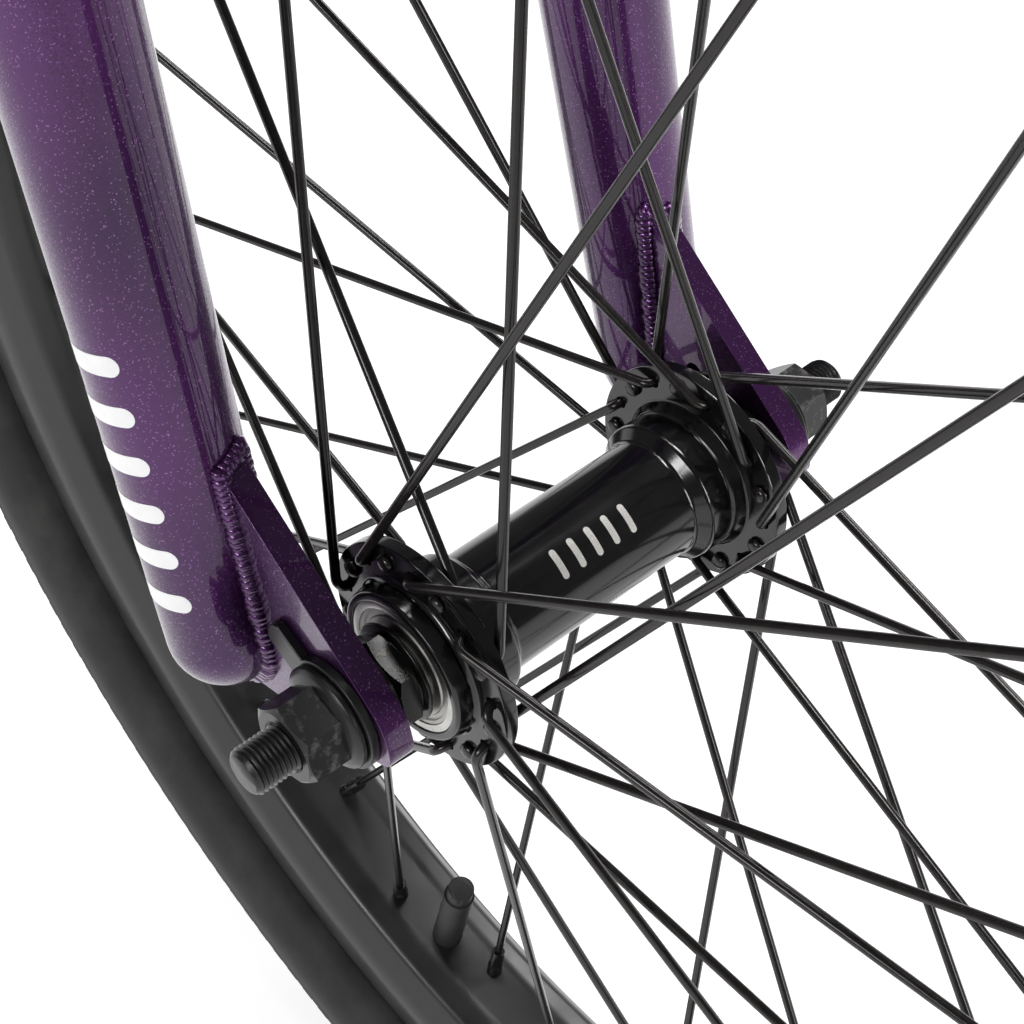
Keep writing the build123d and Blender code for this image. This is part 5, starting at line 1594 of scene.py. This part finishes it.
# ---------------------------------------------------------------- headset, stem and bars
@dataclass
class Cockpit:
    """Headset, stem, bar and grips; sizes are millimetres."""

    bar_r: float = 11.1
    half_width: float = 362.0
    rise: float = 222.0
    tilt_rise: float = 3.0
    foot_y: float = 50.0
    bend_y: float = 190.0
    sweep: float = 11.0
    crossbar: float = 158.0
    crossbar_r: float = 8.0
    grip_length: float = 148.0
    grip_r: float = 15.2

    def on_bar(self, side: float, up: float, back: float = 0.0) -> Vector:
        """Point measured from the middle of the bar's clamped part."""
        return BAR_CENTRE + (STEER * up - AHEAD * back + ACROSS * side) * MM

    def bar_route(self, side: int) -> list[Vector]:
        """End, bend and foot of one half of the bar."""
        back = (self.half_width - self.bend_y) * tan(radians(self.sweep))
        return [self.on_bar(side * self.half_width, self.rise + self.tilt_rise, back),
                self.on_bar(side * self.bend_y, self.rise - self.tilt_rise), self.on_bar(side * self.foot_y, 0.0)]

    def build_bar(self) -> None:
        """Bent bar, its crossbar and the weld at each end of the crossbar."""
        route = self.bar_route(-1) + list(reversed(self.bar_route(1)))
        path = bent_path(route, [r * MM for r in (48.0, 40.0, 40.0, 48.0)], 14)
        bar = bar_along("bar_tube", path, self.bar_r * MM, Finish.ARMS, 64)
        mount(bar, "bars", "black_paint", "handlebar")
        reach = self.foot_y + (self.bend_y - self.foot_y) * self.crossbar / (self.rise - self.tilt_rise)
        ends = [self.on_bar(side * reach, self.crossbar) for side in SIDES]
        cross = bar_along("bar_brace", ends, self.crossbar_r * MM, Finish.ARMS, 48)
        mount(cross, "bars", "black_paint", "handlebar_crossbar")
        trails = []
        for side in SIDES:
            _, bend, foot = self.bar_route(side)
            slope = (bend - foot).normalized()
            touch = on_cylinder(foot, slope, self.bar_r * MM, 0.1 * MM)

            def near(point: Vector) -> bool:
                return point.y * side > 0 and touch(point)

            wire = contact_wire("brace_weld", "handlebar_crossbar", near, 0.85)
            trails.append(trail("brace_weld", wire, Finish.ARMS, 1.7 * MM, 1.0 * MM, 1.2 * MM))
        mount(joined("bar_welds", trails), "bars", "black_paint")

    def build_grips(self) -> None:
        """Grips with a flange and fine ribs, and the plugs in the bar's ends."""
        grips = []
        for side in SIDES:
            end, bend, _ = self.bar_route(side)
            inward = (bend - end).normalized()
            ribs, pitch = 36, 3.4
            sleeve = eased([(0.0, self.bar_r), (0.0, self.grip_r), (8.0, self.grip_r), (10.0, 13.6),
                            (self.grip_length - 16, 13.6), (self.grip_length - 14, 15.2),
                            (self.grip_length, 15.0), (self.grip_length, self.bar_r)], 0.8, 3)
            grips.append(turned("grip_sleeve", scaled(sleeve), end, inward, Finish.GRIP, 72))
            rib = eased([(10.6, 13.2), (10.6, 14.6), (12.6, 14.6), (12.6, 13.2)], 0.55, 2)
            ring = turned("grip_rib", scaled(rib), end, inward, Finish.GRIP, 48)
            pattern(RowPattern).lay_out(ring, Finish.GRIP, Count=ribs, Step=tuple(inward * (pitch * MM)))
            grips.append(ring)
        mount(joined("grip_pair", grips), "bars", "soft_rubber", "handlebar_grips")
        plugs = refined("bar_end_plugs", Finish.PLASTIC, 28.0, 0.5 * MM)
        mount(plugs, "bars", "black_plastic", "bar_end_plugs")

    def build(self) -> None:
        """Build everything above the fork."""
        for node, finish, bevel, slot in (
                ("stem_body", Finish.STEM, 0.7, "black_alloy"), ("stem_face_plate", Finish.STEM, 0.6, "black_alloy"),
                ("stem_bolts", Finish.HARDWARE, 0.3, "black_oxide_steel"),
                ("headset_covers", Finish.STEM, 0.5, "black_alloy"),
                ("headset_rings", Finish.HARDWARE, 0.0, "black_oxide_steel")):
            mount(refined(node, finish, 30.0, bevel * MM), "fork", slot, node)
        self.build_bar()
        self.build_grips()


# ---------------------------------------------------------------- frame
@dataclass
class MainFrame:
    """Welded tubes of the frame with the parts fixed in them; sizes are millimetres."""

    head_r: float = 25.0
    shell_r: float = 23.5
    seat_tube_r: float = 15.9
    plate_inner: float = 55.0
    plate_outer: float = 61.0

    def build_tubes(self) -> None:
        """Every tube as a smooth, painted skin."""
        for node in ("head_tube", "top_tube", "down_tube", "seat_tube", "bottom_bracket_shell", "chainstays",
                     "seatstays"):
            mount(refined(node, Finish.PAINT, 30.0), "frame", "purple_paint", node)
        mount(refined("rear_dropouts", Finish.PAINT, 30.0, 1.1 * MM), "frame", "purple_paint", "rear_dropouts")

    def build_welds(self) -> None:
        """Weld beads at every joint between two tubes."""
        head = on_cylinder(on_steerer(0), STEER, self.head_r * MM)
        shell = on_cylinder(BRACKET, ACROSS, self.shell_r * MM)
        seat = on_cylinder(BRACKET, POST_LINE, self.seat_tube_r * MM)

        def dropout(point: Vector) -> bool:
            level = abs(point.y) / MM
            return min(abs(level - self.plate_inner), abs(level - self.plate_outer)) < 0.05 and \
                (point - REAR_AXLE).length < 0.075

        joints = (("top_tube", head, 0.93), ("top_tube", seat, 0.93), ("down_tube", head, 0.93),
                  ("down_tube", shell, 0.93), ("seat_tube", shell, 0.93), ("chainstays", shell, 0.5),
                  ("seatstays", seat, 0.3), ("chainstays", dropout, 0.3), ("seatstays", dropout, 0.3))
        trails = []
        for node, touches, share in joints:
            wire = contact_wire("frame_weld", node, touches, share)
            if wire.data.edges:
                trails.append(trail("frame_weld", wire, Finish.PAINT, 2.2 * MM, 1.2 * MM, 1.5 * MM))
            else:
                bpy.data.objects.remove(wire)
        mount(joined("frame_welds", trails), "frame", "purple_paint")

    def build(self) -> None:
        """Build the frame and its fittings."""
        self.build_tubes()
        self.build_welds()
        for node, finish, bevel, slot in (
                ("seat_clamp", Finish.STEM, 0.6, "black_alloy"),
                ("seat_clamp_bolt", Finish.HARDWARE, 0.25, "black_oxide_steel"),
                ("headset_bearings", Finish.BEARING, 0.0, "bearing_steel"),
                ("bottom_bracket_bearings", Finish.BEARING, 0.0, "bearing_steel")):
            mount(refined(node, finish, 30.0, bevel * MM), "frame", slot, node)


# ---------------------------------------------------------------- rear hub
@dataclass
class RearHub:
    """Rear hub shell, bearings, driver and axle parts; sizes are millimetres."""

    wheel: Wheel
    axle_r: float = 7.0
    axle_half: float = 86.0
    plate_outer: float = 61.0
    washer: float = 2.0
    nut_flats: float = 19.0
    nut_height: float = 12.0

    def build_shell(self) -> None:
        """Polished shell whose right side is opened for the driver."""
        section = [(-34.5, 17.2), (-34.5, 21.0), (-28.5, 21.6), (-28.5, 28.0), (-25.5, 28.0), (-25.5, 20.0),
                   (-19.0, 18.0), (-18.4, 17.4), (-17.8, 17.4), (27.0, 17.0), (33.5, 19.0), (33.5, 28.0),
                   (36.5, 28.0), (36.5, 17.6), (43.3, 16.8), (43.3, 14.02), (36.0, 14.02), (36.0, 10.5),
                   (-17.0, 10.5), (-17.0, 14.02), (-24.2, 14.02), (-24.2, 17.2)]
        mount(self.wheel.hub_shell(eased(section, 0.45, 2)), "rear_wheel", "black_alloy", "rear_hub_shell")

    def build_fastening(self) -> None:
        """Threaded axle, spacers and flanged nuts."""
        core = bar_along("rear_axle_core", [REAR_AXLE - ACROSS * 0.0605, REAR_AXLE + ACROSS * 0.0605], 6.8 * MM,
                         Finish.HARDWARE, 40)
        parts = [core]
        nuts = []
        start = self.plate_outer + self.washer
        for side in SIDES:
            parts.append(threaded("rear_thread", REAR_AXLE, ACROSS * side, 60.0 * MM, self.axle_half * MM,
                                  self.axle_r * MM, 1.0 * MM, 1.2 * MM, Finish.HARDWARE))
            flange = [(start, 7.1), (start, 12.9), (start + 0.3, 13.3), (start + 1.2, 13.3), (start + 2.2, 12.0),
                      (start + 2.8, 9.6), (start + 2.8, 7.1)]
            nuts += flanged_nut("rear_nut", REAR_AXLE, side, flange, self.nut_height, self.nut_flats,
                                self.axle_r + 0.05)
        mount(joined("rear_axle_bar", parts), "frame", "black_oxide_steel", "rear_axle")
        mount(joined("rear_nut_pair", nuts), "frame", "black_oxide_steel", "rear_axle_nuts")
        spacers = refined("rear_axle_spacers", Finish.HARDWARE, 30.0, 0.35 * MM)
        mount(spacers, "frame", "black_oxide_steel", "rear_axle_spacers")

    def build(self) -> None:
        """Build the hub, its fastening and the driver."""
        self.build_shell()
        rings = bearing_rings("rear", REAR_AXLE, 42.9, 1, 14.0, 7.06, 6.8)
        rings += bearing_rings("rear", REAR_AXLE, -24.0, -1, 14.0, 7.06, 6.8)
        mount(joined("rear_bearing_set", rings), "rear_wheel", "bearing_steel", "rear_hub_bearings")
        self.build_fastening()
        mount(refined("rear_driver", Finish.DRIVER, 30.0, 0.3 * MM), "driver", "driver_steel", "rear_driver")
        mount(refined("driver_pawls", Finish.HARDWARE, 30.0), "driver", "driver_steel", "driver_pawls")


# ---------------------------------------------------------------- drive and pedals
@dataclass
class Drivetrain:
    """Chain, crankset and pedals, taken from their CAD shapes with eased edges."""

    edge: float = 0.5 * MM

    def build(self) -> None:
        """Dress every part of the drive."""
        for node, body, finish, bevel, slot in (
                ("chain_outer_links", "frame", Finish.CHAIN, 0.0, "chain_steel"),
                ("chain_inner_links", "frame", Finish.CHAIN, 0.0, "chain_steel"),
                ("chain_sprocket", "crank", Finish.STEM, self.edge, "black_alloy"),
                ("crank_arms", "crank", Finish.ARMS, 0.0, "black_paint"),
                ("crank_spindle", "crank", Finish.HARDWARE, 0.0, "black_oxide_steel"),
                ("crank_bolts", "crank", Finish.HARDWARE, self.edge, "black_oxide_steel"),
                ("pedal_axles", "crank", Finish.HARDWARE, self.edge * 0.5, "black_oxide_steel"),
                ("right_pedal", "pedal_right", Finish.PLASTIC, self.edge, "black_plastic"),
                ("left_pedal", "pedal_left", Finish.PLASTIC, self.edge, "black_plastic")):
            mount(refined(node, finish, 32.0, bevel), body, slot, node)


# ---------------------------------------------------------------- seat
@dataclass
class Seat:
    """Padded cover with sewn channels on its plastic base, and the post; sizes are metres."""

    voxel: float = 4.0 * MM
    swell: float = 4.5 * MM
    shrink: float = 0.965
    pressure: float = 4.0
    seam_depth: float = 1.5 * MM
    seam_width: float = 2.2 * MM
    stitch_front: float = 0.088
    stitch_run: float = 0.19
    stitch_steps: int = 60
    stitch_offset: float = 2.6 * MM

    def inflate(self, pad: bpy.types.Object) -> None:
        """Blow the pad up as cloth and keep every point near where it started."""
        rest = [v.co.copy() for v in pad.data.vertices]
        scene = bpy.context.scene
        cloth = pad.modifiers.new("cloth", "CLOTH")
        cloth.settings.quality = 6
        cloth.settings.use_pressure = True
        cloth.settings.uniform_pressure_force = self.pressure
        cloth.settings.effector_weights.gravity = 0.0
        for number in range(1, 21):
            scene.frame_set(number)
        apply_modifiers(pad)
        scene.frame_set(1)
        for vert, start in zip(pad.data.vertices, rest):
            shift = vert.co - start
            if shift.length > self.swell:
                vert.co = start + shift.normalized() * self.swell

    def seam_side(self, local: Vector, half: float) -> float:
        """How far across a sewn line lies at a distance along the seat."""
        return half * (0.34 + 0.16 * max(min((0.03 - local.x) / 0.16, 1.0), 0.0))

    def build_cover(self) -> None:
        """Quilted fabric cover: simulated, sewn along two lines and stitched."""
        low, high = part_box("seat_cover")
        middle = (low + high) / 2
        half = (high.y - low.y) / 2
        shape = merged_copy("seat_cover")
        for vert in shape.verts:
            vert.co = middle + (vert.co - middle) * self.shrink
        mesh = bpy.data.meshes.new("seat_pad")
        shape.to_mesh(mesh)
        shape.free()
        pad = link_mesh("seat_pad", mesh, Finish.FABRIC, 180.0)
        remesh = pad.modifiers.new("voxels", "REMESH")
        remesh.mode = "VOXEL"
        remesh.voxel_size = self.voxel
        apply_modifiers(pad)
        self.inflate(pad)
        finer = pad.modifiers.new("finer", "SUBSURF")
        finer.levels = finer.render_levels = 1
        apply_modifiers(pad)
        for vert in pad.data.vertices:
            local = vert.co - middle
            if vert.normal.z < 0.3:
                continue
            gap = abs(abs(local.y) - self.seam_side(local, half))
            vert.co.z -= self.seam_depth * exp(-((gap / self.seam_width) ** 2))
        weave = pad.data.uv_layers.new(name="weave")
        for polygon in pad.data.polygons:
            axes = max(range(3), key=lambda k: abs(polygon.normal[k]))
            first, second = [(1, 2), (0, 2), (0, 1)][axes]
            for loop in polygon.loop_indices:
                point = pad.data.vertices[pad.data.loops[loop].vertex_index].co
                weave.data[loop].uv = (point[first], point[second])
        pad.data.materials.clear()
        pad.data.materials.append(material(Finish.FABRIC))
        pad.data.shade_smooth()
        self.build_stitches(pad, middle, half)
        mount(pad, "seat", "seat_fabric", "seat_cover")

    def build_stitches(self, pad: bpy.types.Object, middle: Vector, half: float) -> None:
        """Rows of thread beside both sewn lines, laid on the cover."""
        graph = bpy.context.evaluated_depsgraph_get()
        graph.update()
        skin = BVHTree.FromObject(pad, graph)
        lines = []
        for side in SIDES:
            line = []
            for step in range(self.stitch_steps):
                along = self.stitch_front - self.stitch_run * step / (self.stitch_steps - 1)
                local = Vector((along, 0.0, 0.0))
                across = side * (self.seam_side(local, half) + self.stitch_offset)
                hit = skin.ray_cast(middle + Vector((along, across, 0.1)), Vector((0, 0, -1)))[0]
                if hit is not None:
                    line.append(hit)
            lines.append(line)
        wire = wire_object("seat_stitches", lines)
        stitches = trail("seat_stitches", wire, Finish.THREAD, 0.42 * MM, 1.5 * MM, 4.2 * MM, 0.95)
        mount(stitches, "seat", "seat_fabric")

    def build(self) -> None:
        """Build the seat and its post."""
        self.build_cover()
        mount(refined("seat_base", Finish.PLASTIC, 30.0, 0.7 * MM), "seat", "black_plastic", "seat_base")
        mount(refined("seat_bolt", Finish.HARDWARE, 30.0, 0.3 * MM), "seat", "black_oxide_steel", "seat_bolt")
        mount(refined("seat_post", Finish.STEM, 30.0), "post", "black_alloy", "seat_post")


# ---------------------------------------------------------------- studio
@dataclass
class Studio:
    """Pale floor, soft lights and the camera."""

    floor_half: float = 14.0
    lens: float = 66.1
    eye: tuple[float, float, float] = (0.162942, -0.175343, 0.270539)
    look: tuple[float, float, float] = (-0.48353, 0.47619, -0.73447)
    roll: float = 2.76

    def build_floor(self) -> None:
        """Large pale sheet under the wheels."""
        half = self.floor_half
        corners = [(-half, -half, 0.0), (half, -half, 0.0), (half, half, 0.0), (-half, half, 0.0)]
        mesh = bpy.data.meshes.new("floor")
        mesh.from_pydata(corners, [], [(0, 1, 2, 3)])
        floor = bpy.data.objects.new("floor", mesh)
        bpy.context.scene.collection.objects.link(floor)
        g = Graph("floor_sheet")
        tone = g.ramp(g.noise(0.7, 2.0), [(0.2, (0.3, 0.3, 0.3)), (0.8, (0.32, 0.32, 0.32))])
        mesh.materials.append(g.finish({"Base Color": tone, "Roughness": 0.9, "Emission Color": rgb(1, 1, 1),
                                        "Emission Strength": 0.84}))

    def add_light(self, name: str, where: Vector, aim: Vector, width: float, height: float, power: float) -> None:
        """Soft rectangular light.

        Args:
            name: The light's name.
            where: Its middle.
            aim: What it points at.
            width: Its width.
            height: Its height.
            power: Its power in watts.
        """
        data = bpy.data.lights.new(name, "AREA")
        data.shape = "RECTANGLE"
        data.size = width
        data.size_y = height
        data.energy = power
        light = bpy.data.objects.new(name, data)
        light.location = where
        light.rotation_euler = (aim - where).to_track_quat("-Z", "Y").to_euler()
        bpy.context.scene.collection.objects.link(light)

    def build_lights(self) -> None:
        """Overhead softbox, one at each side, and an even pale surround."""
        middle = Vector((0.0, 0.0, 0.35))
        self.add_light("overhead", Vector((-0.2, 0.3, 2.6)), middle, 2.0, 0.5, 70.0)
        self.add_light("right_side", Vector((0.7, -2.6, 1.5)), middle, 1.4, 0.4, 34.0)
        self.add_light("left_side", Vector((-0.6, 2.6, 1.7)), middle, 1.6, 0.45, 36.0)
        self.add_light("ahead", Vector((3.0, 0.4, 1.3)), middle, 0.5, 1.6, 32.0)
        world = bpy.data.worlds.new("surround")
        world.use_nodes = True
        tree = world.node_tree
        tree.nodes.clear()
        seen = tree.nodes.new("ShaderNodeLightPath").outputs["Is Camera Ray"]
        pale, dim = tree.nodes.new("ShaderNodeBackground"), tree.nodes.new("ShaderNodeBackground")
        pale.inputs["Color"].default_value = rgb(1, 1, 1)
        pale.inputs["Strength"].default_value = 0.9
        dim.inputs["Color"].default_value = rgb(1, 1, 1)
        dim.inputs["Strength"].default_value = 0.16
        mix = tree.nodes.new("ShaderNodeMixShader")
        output = tree.nodes.new("ShaderNodeOutputWorld")
        tree.links.new(seen, mix.inputs[0])
        tree.links.new(dim.outputs[0], mix.inputs[1])
        tree.links.new(pale.outputs[0], mix.inputs[2])
        tree.links.new(mix.outputs[0], output.inputs["Surface"])
        bpy.context.scene.world = world

    def build_camera(self) -> None:
        """Close view of the front hub from ahead, above and the right."""
        data = bpy.data.cameras.new("camera")
        data.lens = self.lens
        data.sensor_width = 36.0
        data.clip_start = 0.01
        data.clip_end = 60.0
        camera = bpy.data.objects.new("camera", data)
        look = Vector(self.look).normalized()
        camera.rotation_mode = "QUATERNION"
        level = look.cross(UP).normalized()
        right = Quaternion(look, -radians(self.roll)) @ level
        top = right.cross(look)
        turn = Matrix((right, top, -look)).transposed()
        camera.rotation_quaternion = turn.to_quaternion()
        camera.location = FRONT_AXLE + Vector(self.eye)
        bpy.context.scene.collection.objects.link(camera)
        bpy.context.scene.camera = camera

    def build(self) -> None:
        """Build the studio."""
        self.build_floor()
        self.build_lights()
        self.build_camera()
        bpy.context.scene.view_settings.view_transform = "Standard"


def main() -> None:
    """Build the bike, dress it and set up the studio."""
    logging.basicConfig(level=logging.INFO)
    front = Wheel("front", FRONT_AXLE, ((-35.5, 20.3), (35.5, 20.3)))
    rear = Wheel("rear", REAR_AXLE, ((-27.0, 24.5), (35.0, 24.5)))
    for part in (front, rear, FrontHub(front), RearHub(rear), Fork(), Cockpit(), MainFrame(), Drivetrain(), Seat(),
                 Studio()):
        log.info("building %s", type(part).__name__)
        part.build()


if __name__ == "__main__":
    main()
